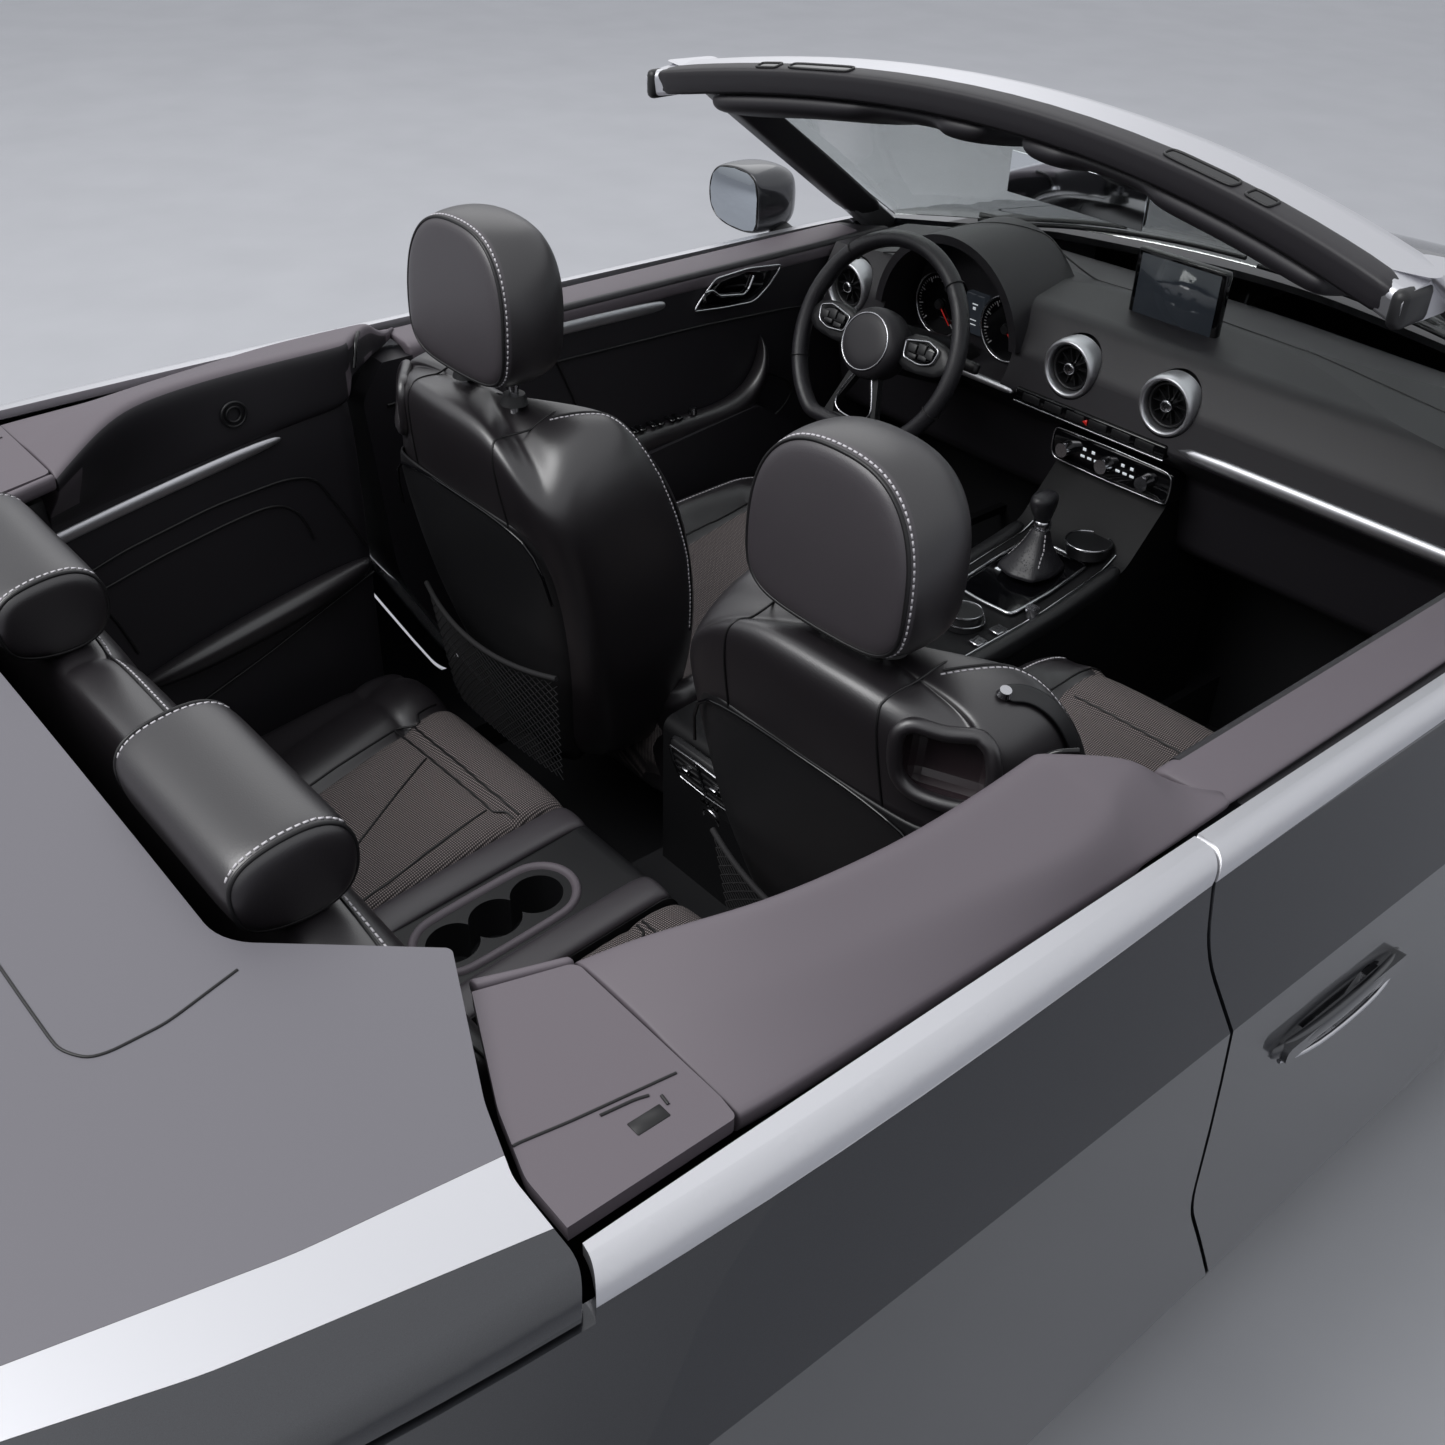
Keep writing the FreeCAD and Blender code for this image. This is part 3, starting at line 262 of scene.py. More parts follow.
# A lighter copy of the grained leather: its lighter tone is a painted sheen, standing in for sky light on
# faces turned up and back.
panel_leather_painted_sheen = grained("panel_leather_painted_sheen", {"Base Color": linear("#3B373B"), "Roughness": 0.42,
                                          "Specular IOR Level": 0.8}, 700.0, 0.25, 0.0006, 4.0)
thread = plain("pale_thread", "#C4C1C5", 0.7)
piping = plain("leather_piping", "#0F0E10", 0.45)
dress(leather, "seat_left", "seat_right", "front_headrests", "rear_backrest", "rear_headrests",
      "rear_cushions", "steering_wheel", "gear_lever")
dress(black, "interior_mirror")
for corner in ("front_left", "front_right", "rear_left", "rear_right"):
    dress(rubber, "tyre_" + corner)
    dress(alloy, "rim_" + corner)

# The front seats: foam on a steel frame under sewn leather, with high side bolsters that rise to shoulders.
# Half width; front; front of the bolsters; rear; heights at the middle of the rear, its corners, the
# bolsters and the middle of the front
BACK_ROWS = [
    (150, 322, 285, 436, 398, 398, 398, 398),
    (186, 338, 278, 460, 500, 500, 500, 500),
    (222, 366, 266, 500, 640, 640, 640, 640),
    (234, 396, 288, 529, 790, 780, 790, 790),
    (232, 414, 318, 548, 880, 850, 885, 880),
    (224, 428, 350, 558, 938, 884, 942, 935),
    (212, 440, 376, 561, 976, 910, 982, 968),
    (190, 456, 392, 556, 997, 932, 1004, 992),
    (146, 480, 428, 540, 1006, 962, 1012, 1006),
]
# name, across, how far back and up the seat is set, how far back and up its headrest is set
SEATS = [("left", 375, -35, 0, -42, 5), ("right", -366, 0, -12, -8, -28)]
SHELL_EDGE = ((-196, 530, 770), (-190, 545, 850), (-100, 550, 868), (0, 552, 870), (100, 550, 868),
              (190, 545, 850), (196, 530, 770))


def surface(made):
    """The finished surface of a piece, for laying seams on it."""
    bpy.context.view_layer.update()
    return BVHTree.FromObject(made, bpy.context.evaluated_depsgraph_get())


def mm(points):
    return [Vector(p) / 1000 for p in points]


def back_side(row, outer):
    """Half a ring round a seat back from the middle of its rear. The outer shoulder is higher, wider."""
    half, front, bolster, rear, z_rear, z_corner, z_bolster, z_front = row
    rise = min(1.0, max(0.0, (z_rear - 790) / 150)) if outer else 0.0
    half += 12 * rise
    z_corner += (z_rear - z_corner) * 0.7 * rise
    return [(0, rear, z_rear), (0.5 * half, rear - 4 * rise, z_rear),
            (0.8 * half, rear - 5 - 26 * rise, (z_rear + z_corner) / 2),
            (0.97 * half, rear - 30 - 34 * rise, z_corner),
            (half, (rear + front) / 2, (z_corner + z_bolster) / 2),
            (half, bolster + 22, z_bolster), (0.86 * half, bolster, z_bolster),
            (0.7 * half, bolster + 14, z_bolster), (0.6 * half, front - 8, z_front),
            (0.3 * half, front, z_front), (0, front, z_front)]


def back_ring(row, x, dy, dz):
    """One ring round a seat back, from the middle of its rear."""
    outward = 1 if x > 0 else -1
    near, far = back_side(row, True), back_side(row, False)
    ring = near + [(-px, py, pz) for px, py, pz in reversed(far[1:-1])]
    return mm([(x + outward * px, py + dy, pz + dz) for px, py, pz in ring])


# The record's slot for the pieces of each material, where a piece names no other
USUAL_SLOTS = {
    "satin_chrome": "vent_chrome",
    "moulded_black": "black_plastic",
    "gloss_black": "gloss_black",
    "grained_leather": "seat_leather",
    "anodised_aluminium": "trim_aluminium",
    "grained_dash_skin": "soft_trim",
    "soft_touch_skin": "soft_trim",
    "pale_thread": "seat_leather",
    "display_marks": "gloss_black",
    "perforated_rim_leather": "grip_leather",
    "metallic_lacquer": "body_paint",
}


def piece(name, form, finish, slot=None, body="chassis", levels=0, sharp=None, stands_for=()):
    """Makes a form into an object that rides on a CAD body. Levels are of smoothing, sharp is an angle.

    Without a slot it looks up the one that its material usually has, but no slot is kept on the piece."""
    made = bpy.data.objects.new(name, bpy.data.meshes.new(name))
    form.to_mesh(made.data)
    form.free()
    made.data.materials.append(finish)
    for face in made.data.polygons:
        face.use_smooth = True
    if sharp:
        made.data.set_sharp_from_angle(angle=math.radians(sharp))
    scene.collection.objects.link(made)
    if levels:
        smoother = made.modifiers.new("smooth", "SUBSURF")
        smoother.levels = smoother.render_levels = levels
    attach(made, body)
    # Blender puts a number behind a name that is already taken
    slot = slot or USUAL_SLOTS[finish.name.split(".")[0]]
    if stands_for:
        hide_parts(*stands_for)
    return made


def spaced(points, pitch, closed=False):
    """Points at an even pitch along straight runs between the given points."""
    run = [Vector(p) for p in points]
    if closed:
        run.append(run[0])
    found = []
    left = 0.0
    for a, b in zip(run, run[1:]):
        reach = (b - a).length
        while left < reach:
            found.append(a.lerp(b, left / reach))
            left += pitch
        left -= reach
    return found


def on_skin(points, skin, lift):
    """Points moved to the nearest place on a surface, and lifted off it."""
    found = []
    for point in points:
        place, normal = skin.find_nearest(point)[:2]
        found.append(place + normal * lift)
    return found


def strand(form, points, radius, closed=False, resolution=2):
    """Adds a round strand along a smooth line."""
    line = bpy.data.curves.new("strand", "CURVE")
    line.dimensions = "3D"
    line.bevel_depth = radius
    line.bevel_resolution = resolution
    line.resolution_u = 3
    line.use_fill_caps = True
    spline = line.splines.new("NURBS")
    spline.points.add(len(points) - 1)
    for place, point in zip(spline.points, points):
        place.co = (point[0], point[1], point[2], 1.0)
    spline.order_u = 3
    spline.use_cyclic_u = closed
    spline.use_endpoint_u = not closed
    holder = bpy.data.objects.new("strand", line)
    made = bpy.data.meshes.new_from_object(holder)
    form.from_mesh(made)
    bpy.data.objects.remove(holder)
    bpy.data.curves.remove(line)
    bpy.data.meshes.remove(made)
    return form


def seam(name, line, skin, slot="seat_leather", width=0.0016, pitch=0.012, closed=False):
    """A dark piped seam that lies on a surface."""
    form = strand(bmesh.new(), on_skin(spaced(mm(line), pitch, closed), skin, width * 0.2), width, closed)
    return piece(name, form, piping, slot)


def stitches(form, points, skin, length, thickness):
    """Adds one short stitch at each point, along the line and flat on the surface."""
    for here, after in zip(points, points[1:]):
        place, normal = skin.find_nearest(here)[:2]
        along = (after - here).normalized()
        side = normal.cross(along).normalized()
        turn = Matrix((along, side, normal)).transposed().to_4x4()
        size = Matrix.Diagonal((length, thickness, thickness * 0.8, 1))
        bmesh.ops.create_cube(form, size=1.0, matrix=Matrix.Translation(place) @ turn @ size)
    return form


def double_stitch(name, lines, skin, slot="seat_leather", pitch=0.0076):
    """Rows of pale stitches that lie on a surface."""
    form = bmesh.new()
    for line in lines:
        stitches(form, on_skin(spaced(mm(line), pitch), skin, 0.0), skin, pitch * 0.66, 0.0019)
    return piece(name, form, thread, slot)


def ring_loft(rings, caps=True, closed=True):
    """A skin from one ring of points to the next. Rings have equal counts."""
    form = bmesh.new()
    loops = []
    for ring in rings:
        corners = [form.verts.new(point) for point in ring]
        after = corners[1:] + corners[:1] if closed else corners[1:]
        loops.append([form.edges.new(pair) for pair in zip(corners, after)])
    for low, high in zip(loops, loops[1:]):
        bmesh.ops.bridge_loops(form, edges=low + high)
    if caps and closed:
        for loop in (loops[0], loops[-1]):
            bmesh.ops.edgeloop_fill(form, edges=loop)
    bmesh.ops.recalc_face_normals(form, faces=form.faces)
    return form


for side, x, dy, dz, rest_dy, rest_dz in SEATS:
    back = piece("seat_back_" + side, ring_loft([back_ring(row, x, dy, dz) for row in BACK_ROWS]),
                 leather, levels=3, stands_for=["seat_" + side])
    skin = surface(back)
    for sign, end in ((-1, "inner" if side == "left" else "outer"),
                      (1, "outer" if side == "left" else "inner")):
        line = [(x + sign * (112 + 20 * (1000 - pz) / 300), py + dy + 6, pz + dz) for px, py, pz in
                [(0, 480, 700), (0, 548, 880), (0, 562, 960), (0, 552, 996), (0, 500, 1012), (0, 440, 1000),
                 (0, 410, 960), (0, 395, 900)]]
        seam("seat_back_seam_%s_%s" % (side, end), line, skin)
        crest = [(x + sign * px, py + dy, pz + dz) for px, py, pz in
                 [(120, 470, 1015), (160, 400, 1012), (190, 375, 1000), (210, 360, 960), (225, 340, 900),
                  (230, 300, 780), (232, 285, 640)]]
        seam("seat_bolster_seam_%s_%s" % (side, end), crest, skin)
        double_stitch("seat_bolster_stitch_%s_%s" % (side, end),
                      [[(cx + sign * 4, cy + 5, cz + 2) for cx, cy, cz in crest]], skin)

    # The hard shell on the back of the seat, clipped on, with its net pocket
    shell_rows = [(410, 104, 442), (520, 148, 466), (650, 186, 504), (780, 200, 528), (850, 196, 541),
                  (868, 188, 541)]
    rings = []
    for pz, half, rear in shell_rows:
        ring = [(-half, rear - 26), (-half + 6, rear - 2), (-half * 0.7, rear + 5), (0, rear + 7),
                (half * 0.7, rear + 5), (half - 6, rear - 2), (half, rear - 26)]
        rings.append(mm([(x + px, py + dy, pz + dz) for px, py in ring]))
    shell = ring_loft(rings, closed=False)
    made = piece("seat_shell_" + side, shell, black, levels=2)
    thick = made.modifiers.new("thickness", "SOLIDIFY")
    thick.thickness = 0.003
    skin = surface(made)
    edge = [(x + px, py + dy, pz + dz) for px, py, pz in SHELL_EDGE]
    form = strand(bmesh.new(), mm(edge), 0.0022)
    piece("seat_shell_edge_" + side, form, gloss, "black_plastic")

# The front headrests: foam over a steel hoop under leather, on two stems, with the rear panel sewn in.
# From the rear; half width; lowest; highest
REST_ROWS = [(4, 96, 26, 196), (2, 112, 12, 208), (-8, 121, 3, 216), (-40, 125, 0, 220), (-80, 122, 4, 216),
             (-106, 106, 20, 200), (-121, 74, 52, 164)]


def squared(value, power):
    """A sine or cosine raised to a power with its sign kept, for outlines squarer than an ellipse."""
    return math.copysign(abs(value) ** power, value)


def rest_ring(row, x, rear, low, count=20):
    """One upright ring round a headrest, squarer below and rounder above."""
    depth, half, z0, z1 = row
    ring = []
    for i in range(count):
        angle = 2 * math.pi * i / count
        c, s = math.cos(angle), math.sin(angle)
        px = half * squared(c, 0.74 if s > 0 else 0.5)
        tall, power = (1.06, 0.85) if s > 0 else (0.9, 0.55)
        pz = (z0 + z1) / 2 - 12 + (z1 - z0) / 2 * tall * squared(s, power)
        px *= 1 - 0.05 * s
        ring.append((x + px, rear + depth - 14 * (pz / 220) ** 2, low + pz))
    return mm(ring)


def cone(form, segments, low_radius, high_radius, depth, matrix):
    """Adds a capped cone or cylinder along the Z of its matrix."""
    bmesh.ops.create_cone(form, cap_ends=True, segments=segments, radius1=low_radius, radius2=high_radius,
                          depth=depth, matrix=matrix)


def two_tone_and_painted_light(made, second, chosen):
    """Gives the faces that a test of centre in millimetres and normal picks a second material. Tests by
    place lay in woven parts; tests by normal give the headrests' rear faces a painted sheen and the rear
    trims' inner faces painted shade.
    """
    made.data.materials.append(second)
    for face in made.data.polygons:
        if chosen(face.center * 1000, face.normal):
            face.material_index = 1


for side, x, dy, dz, rest_dy, rest_dz in SEATS:
    rear, low = 543 + rest_dy, 1031 + rest_dz
    rest = piece("headrest_" + side, ring_loft([rest_ring(row, x, rear, low) for row in REST_ROWS]),
                 leather, levels=2, stands_for=["front_headrests"] if side == "left" else ())
    # The rear faces are a real sewn-in panel, but its lighter leather is a painted sheen of the sky on the
    # rear-facing side.
    two_tone_and_painted_light(rest, panel_leather_painted_sheen, lambda c, n: n.y > 0.55)
    skin = surface(rest)
    rim = [p * 1000 for p in rest_ring((0, 117, 7, 212), x, rear, low, 48)]
    seam("headrest_piping_" + side, rim, skin, width=0.0024, closed=True)
    arch = [p * 1000 for p in rest_ring((-4, 124, 0, 218), x, rear, low, 48)]
    double_stitch("headrest_stitch_" + side, [arch + arch[:1]], skin)
    stems = bmesh.new()
    for offset in (-60, 60):
        strand(stems, mm([(x + offset, 492 + rest_dy, 965 + dz), (x + offset, 492 + rest_dy, 1000),
                          (x + offset, 492 + rest_dy, low + 30)]), 0.0065)
    piece("headrest_stems_" + side, stems, polished)
    collars = bmesh.new()
    for offset in (-60, 60):
        foot = Vector((x + offset, 492 + rest_dy, 1013 + dz)) / 1000
        cone(collars, 24, 0.019, 0.015, 0.014, Matrix.Translation(foot))
    piece("headrest_collars_" + side, collars, black, sharp=40)

# The rear cushions: foam pads with a woven centre and leather bolsters, pulled down at the sewn seams.
weave, tree, shader = new_material("diamond_weave_fabric", {"Roughness": 0.9})
place = node(tree, "ShaderNodeTexCoord").outputs["Object"]
turned = node(tree, "ShaderNodeMapping", {"Rotation": (0, 0, math.radians(38)),
                                          "Scale": (1350, 1350, 1350)}, {"Vector": place})
parts_of = node(tree, "ShaderNodeSeparateXYZ", links={"Vector": turned.outputs["Vector"]})
waves = [node(tree, "ShaderNodeMath", {"operation": "SINE"}, {0: parts_of.outputs[axis]}) for axis in
         ("X", "Y")]
grid = node(tree, "ShaderNodeMath", {"operation": "MULTIPLY"},
            {0: waves[0].outputs[0], 1: waves[1].outputs[0]})
tones = toned(tree, grid.outputs[0], [(0.1, "#2A2627"), (0.5, "#8C8280")])
tree.links.new(tones.outputs["Color"], shader.inputs["Base Color"])
raised = node(tree, "ShaderNodeBump", {"Strength": 0.5, "Distance": 0.0006}, {"Height": grid.outputs[0]})
tree.links.new(raised.outputs["Normal"], shader.inputs["Normal"])

# Along; top; outer edge of the woven part
CUSHION_ROWS = [(508, 420, 446), (512, 466, 448), (535, 486, 442), (575, 489, 433), (598, 485, 428),
                (609, 476, 425), (620, 482, 422), (700, 472, 408), (800, 458, 388), (900, 447, 372),
                (985, 438, 362)]


def cushion_ring(row):
    y, top, edge = row
    side = [(130, 318), (128, top - 60), (130, top - 16), (142, top - 3), (220, top), (310, top),
            (edge - 26, top - 1), (edge - 6, top - 5), (edge, top - 13), (edge + 8, top - 4),
            (edge + 38, top + 9), (edge + 88, top + 5), (edge + 120, top - 8), (edge + 128, top - 16),
            (588, top - 12), (600, top - 26), (600, top - 60), (598, 318)]
    return mm([(x, y, z) for x, z in side])


def edge_at(y):
    """Where the woven part of a rear cushion ends."""
    for low, high in zip(CUSHION_ROWS, CUSHION_ROWS[1:]):
        if low[0] <= y <= high[0]:
            share = (y - low[0]) / (high[0] - low[0])
            return low[2] + (high[2] - low[2]) * share
    return CUSHION_ROWS[-1][2]


SIDES = (("left", 1), ("right", -1))


def mirror_form(form):
    """Mirrors a form to the other side of the car."""
    bmesh.ops.scale(form, vec=(-1, 1, 1), verts=form.verts)
    bmesh.ops.reverse_faces(form, faces=form.faces)
    return form


for side, sign in SIDES:
    form = ring_loft([cushion_ring(row) for row in CUSHION_ROWS])
    if sign < 0:
        mirror_form(form)
    pad = piece("rear_cushion_" + side, form, leather, "seat_fabric", levels=2,
                stands_for=["rear_cushions"] if side == "left" else ())
    two_tone_and_painted_light(pad, weave, lambda c, n: 131 < abs(c.x) < edge_at(c.y) and c.z > 395)
    skin = surface(pad)
    for name, line in {
            "front": [(134, 598, 500), (250, 602, 500), (edge_at(604), 606, 500)],
            "rear": [(134, 612, 500), (250, 616, 500), (edge_at(618), 620, 500)],
            "outer": [(340, 624, 500), (300, 700, 490), (250, 790, 480), (207, 860, 470), (180, 930, 460)],
            "inner": [(179, 620, 500), (165, 720, 490), (145, 830, 480), (132, 880, 470)],
            "welt": [(edge_at(y) , y, 500) for y in (530, 600, 700, 800, 900, 970)]}.items():
        seam("rear_cushion_seam_%s_%s" % (name, side), [(sign * x, y, z) for x, y, z in line], skin,
             slot="seat_fabric", width=0.0018)

# The front seat cushions: foam pads with a woven middle, a raised front edge and leather bolsters.
pad_half = 233
woven_half, crest_half = 0.62 * pad_half, 0.9 * pad_half
# Along; half width; underside; top of the bolsters; top of the middle
PAD_ROWS = [(-252, 176, 440, 530, 540), (-248, 210, 380, 565, 576), (-228, 230, 350, 596, 598),
            (-165, 235, 336, 606, 592), (-145, 235, 334, 606, 577), (-125, 235, 333, 606, 578),
            (0, 235, 328, 602, 552), (150, 235, 322, 588, 520), (280, 232, 318, 562, 500),
            (345, 225, 320, 540, 495)]


def pad_ring(row, x, dy, dz):
    y, half, low, bolster, middle = row
    side = [(0, low), (0.85 * half, low), (half - 4, low + 18), (half, bolster - 60),
            (half - 4, bolster - 16), (0.92 * half, bolster), (0.8 * half, bolster - 3),
            (0.68 * half, middle + 8), (0.62 * half, middle - 5), (0.56 * half, middle),
            (0.25 * half, middle + 3), (0, middle + 3)]
    ring = side + [(-px, pz) for px, pz in reversed(side[1:-1])]
    return mm([(x + px, y + dy, pz + dz) for px, pz in ring])


for side, x, dy, dz, rest_dy, rest_dz in SEATS:
    pad = piece("seat_pad_" + side, ring_loft([pad_ring(row, x, dy, dz) for row in PAD_ROWS]), leather,
                levels=2, stands_for=["seat_" + side])
    two_tone_and_painted_light(pad, weave, lambda c, n: abs(c.x - x) < woven_half and c.z > 440 + dz)
    skin = surface(pad)
    for name, sign in (("inner", -1), ("outer", 1)):
        crest = [(x + sign * crest_half, py + dy, 620) for py in (-244, -228, -150, 0, 150, 270)]
        double_stitch("seat_pad_stitch_%s_%s" % (side, name), [crest], skin)
        seam("seat_pad_welt_%s_%s" % (side, name), [(x + sign * woven_half, py + dy, pz) for py, pz in
                                                    ((-252, 520), (-228, 620), (-100, 590), (100, 560),
                                                     (270, 540))], skin, width=0.0018)
    seam("seat_pad_cross_" + side, [(x + px, -145 + dy, 600) for px in (-143, 0, 143)], skin, width=0.0018)

# The belt guide in each front seat's outer shoulder: a hollow with a padded rim, a strap and its stud.
hollow_skin = plain("smooth_hollow_skin", "#2C2427", 0.22)


def rotated(degrees, axis):
    return Matrix.Rotation(math.radians(degrees), 4, axis)


def merge(form, part):
    """Adds one form to another."""
    mesh = bpy.data.meshes.new("part")
    part.to_mesh(mesh)
    part.free()
    form.from_mesh(mesh)
    bpy.data.meshes.remove(mesh)
    return form


def ribbon(form, points, width, thickness, normals):
    """Adds a flat strap along a line. Each point has the direction that its flat side faces."""
    rings = []
    for i, (point, up) in enumerate(zip(points, normals)):
        along = (points[min(i + 1, len(points) - 1)] - points[max(i - 1, 0)]).normalized()
        side = up.cross(along).normalized() * width / 2
        out = up.normalized() * thickness / 2
        rings.append([point + side + out, point - side + out, point - side - out, point + side - out])
    return merge(form, ring_loft(rings))


def carve(made, cutter_form, finish):
    """Cuts a form out of a piece. The walls of the cut get their own finish."""
    mesh = bpy.data.meshes.new("cutter")
    cutter_form.to_mesh(mesh)
    cutter_form.free()
    mesh.materials.append(finish)
    cutter = bpy.data.objects.new("cutter", mesh)
    scene.collection.objects.link(cutter)
    cut = made.modifiers.new("cut", "BOOLEAN")
    cut.object = cutter
    cut.solver = "EXACT"
    cut.material_mode = "TRANSFER"
    bpy.context.view_layer.update()
    done = bpy.data.meshes.new_from_object(made.evaluated_get(bpy.context.evaluated_depsgraph_get()))
    made.modifiers.clear()
    made.data = done
    bpy.data.objects.remove(cutter)
    return made


def bar(form, low, high, radius=0.0, segments=2):
    """Adds a block between two corners, its edges rounded."""
    low, high = Vector(low), Vector(high)
    size = Matrix.Diagonal((high - low).to_4d())
    size[3][3] = 1
    made = bmesh.ops.create_cube(form, size=1.0, matrix=Matrix.Translation((low + high) / 2) @ size)
    if radius:
        edges = list({e for v in made["verts"] for e in v.link_edges})
        bmesh.ops.bevel(form, geom=edges, offset=radius, offset_type="OFFSET", segments=segments,
                        profile=0.5, affect="EDGES", material=-1)
    return form


for side, x, dy, dz, rest_dy, rest_dz in SEATS:
    sign = 1 if side == "left" else -1
    back = bpy.data.objects["seat_back_" + side]
    skin = surface(back)
    place = skin.find_nearest(Vector((x + sign * 186, 530 + dy, 944 + dz)) / 1000)[0]
    facing = Matrix.Translation(place) @ rotated(sign * -24, "Z") @ \
        rotated(12, "X")
    cutter = bar(bmesh.new(), (-0.046, -0.034, -0.036), (0.046, 0.080, 0.036), 0.016, 3)
    bmesh.ops.transform(cutter, matrix=facing, verts=cutter.verts)
    carve(back, cutter, hollow_skin)
    rim_line = []
    for k in range(28):
        angle = math.tau * k / 28
        c, s = math.cos(angle), math.sin(angle)
        local = Vector((0.055 * squared(c, 0.6), 0.012, 0.045 * squared(s, 0.6)))
        place, normal = skin.find_nearest(facing @ local)[:2]
        rim_line.append(place + normal * 0.001)
    form = strand(bmesh.new(), rim_line, 0.0085, True, 4)
    piece("belt_guide_rim_" + side, form, leather)
    strap_line = [(x + sign * 189, 452, 1012), (x + sign * 196, 430, 1000), (x + sign * 208, 405, 972),
                  (x + sign * 217, 385, 935), (x + sign * 222, 360, 890), (x + sign * 226, 330, 830)]
    laid = []
    faces = []
    for point in spaced(mm([(px, py + dy, pz + dz) for px, py, pz in strap_line]), 0.014):
        place, normal = skin.find_nearest(point)[:2]
        laid.append(place + normal * 0.0035)
        faces.append(normal)
    piece("belt_strap_" + side, ribbon(bmesh.new(), laid, 0.026, 0.0028, faces), black, "seat_leather",
          levels=1)
    stud = bmesh.new()
    turned_by = faces[0].to_track_quat("Z", "Y").to_matrix().to_4x4()
    cone(stud, 24, 0.0085, 0.0062, 0.006, Matrix.Translation(laid[0] + faces[0] * 0.003) @ turned_by)
    piece("belt_stud_" + side, stud, polished, sharp=40)

# The net pockets on the backs of the front seats: elastic cord knotted in a mesh under a hemmed edge.
net_cord = plain("net_cord", "#1A191B", 0.8)
for side, x, dy, dz, rest_dy, rest_dz in SEATS:
    def net_point(u, v):
        bulge = 24 * (1 - u * u) * (0.3 + 0.7 * v)
        return Vector((x + u * (150 + 26 * v), 493 + 22 * v + bulge + dy, 430 + 205 * v - 18 *
                       (1 - u * u) * v + dz)) / 1000

    form = bmesh.new()
    meshes_across, steps = 22, 14
    for start in range(-steps, meshes_across + 1):
        for lean_sign in (1, -1):
            run = []
            for step in range(steps + 1):
                u = (start + step) * 2 / meshes_across - 1
                if -1 <= u <= 1:
                    run.append(net_point(u * lean_sign, step / steps))
            if len(run) > 2:
                strand(form, run, 0.0009, resolution=0)
    piece("net_pocket_" + side, form, net_cord, "seat_fabric")
    form = strand(bmesh.new(), [net_point(k / 8 - 1, 1.0) for k in range(17)], 0.0042)
    piece("net_hem_" + side, form, net_cord, "seat_fabric")

# The rear backrest: one foam panel under leather, sewn along its top edge.
BACK_RING = [(903, 436), (925, 500), (975, 660), (1022, 800), (1056, 905), (1072, 944), (1100, 956),
             (1140, 952), (1150, 930), (1151, 700), (1150, 334), (1010, 316)]
rings = []
for x in (-598, -592, -520, -400, -264, -140, -128, -118, 0, 118, 128, 140, 264, 400, 520, 592, 598):
    pull = 8 if abs(x) in (598, 128) else 0
    shoulder_drop = 26 if abs(x) > 500 else 0
    rings.append(mm([(x, y + (pull if i < 7 else 0),
                      z - (pull if 4 < i < 8 else 0) - (shoulder_drop if 4 < i < 9 else 0))
                     for i, (y, z) in enumerate(BACK_RING)]))
rear_back = piece("rear_back", ring_loft(rings), leather, levels=2,
                  stands_for=["rear_backrest"])
skin = surface(rear_back)
seam("rear_back_seam", [(-585, 1075, 930), (-480, 1086, 958), (0, 1086, 962), (480, 1086, 958),
                        (585, 1075, 930)], skin)
double_stitch("rear_back_stitch", [[(-470, 1078, 960), (0, 1078, 962), (470, 1078, 960)]], skin)

# The rear headrests: two foam rolls under leather, their end panels sewn in with piping.
roll_x = 265
ROLL_RING = [(1088, 955), (1072, 975), (1067, 1005), (1076, 1034), (1102, 1048), (1140, 1046),
             (1176, 1036), (1192, 1016), (1190, 985), (1180, 958), (1130, 948)]
for side, sign in SIDES:
    rings = []
    for offset, inset in ((-120, 20), (-119, 9), (-112, 2), (-90, 0), (0, 1), (90, 0), (112, 2), (119, 9),
                          (120, 20)):
        ring = []
        for y, z in ROLL_RING:
            toward = Vector((1130 - y, 1000 - z)).normalized() * inset
            ring.append((sign * roll_x + offset, y + toward.x, z + toward.y))
        rings.append(mm(ring))
    roll = piece("rear_roll_" + side, ring_loft(rings), leather, levels=2,
                 stands_for=["rear_headrests"] if side == "left" else ())
    skin = surface(roll)
    for end in (-1, 1):
        rim = [(sign * roll_x + end * 115, y, z) for y, z in ROLL_RING]
        seam("rear_roll_piping_%s_%d" % (side, (end + 1) // 2), rim, skin, width=0.0022, closed=True)
        top_rim = [(sign * roll_x + end * 108, y, z) for y, z in ROLL_RING[3:8]]
        double_stitch("rear_roll_stitch_%s_%d" % (side, (end + 1) // 2), [top_rim], skin)

# The rear console: moulded cup holder tray between the cushions, with leather pads at its sides.
rings = []


def stadium(half_x, y0, y1, count=10):
    """An outline with straight sides and round ends, anticlockwise from the front right."""
    points = []
    for centre_y, start in ((y1 - half_x, 0), (y0 + half_x, 180)):
        for i in range(count + 1):
            angle = math.radians(start + 180 * i / count)
            points.append((half_x * math.cos(angle), centre_y + half_x * math.sin(angle)))
    return points


def tray_z(y):
    """Height of the console's sloping top."""
    return 478 + (445 - 478) * (y - 515) / (880 - 515)


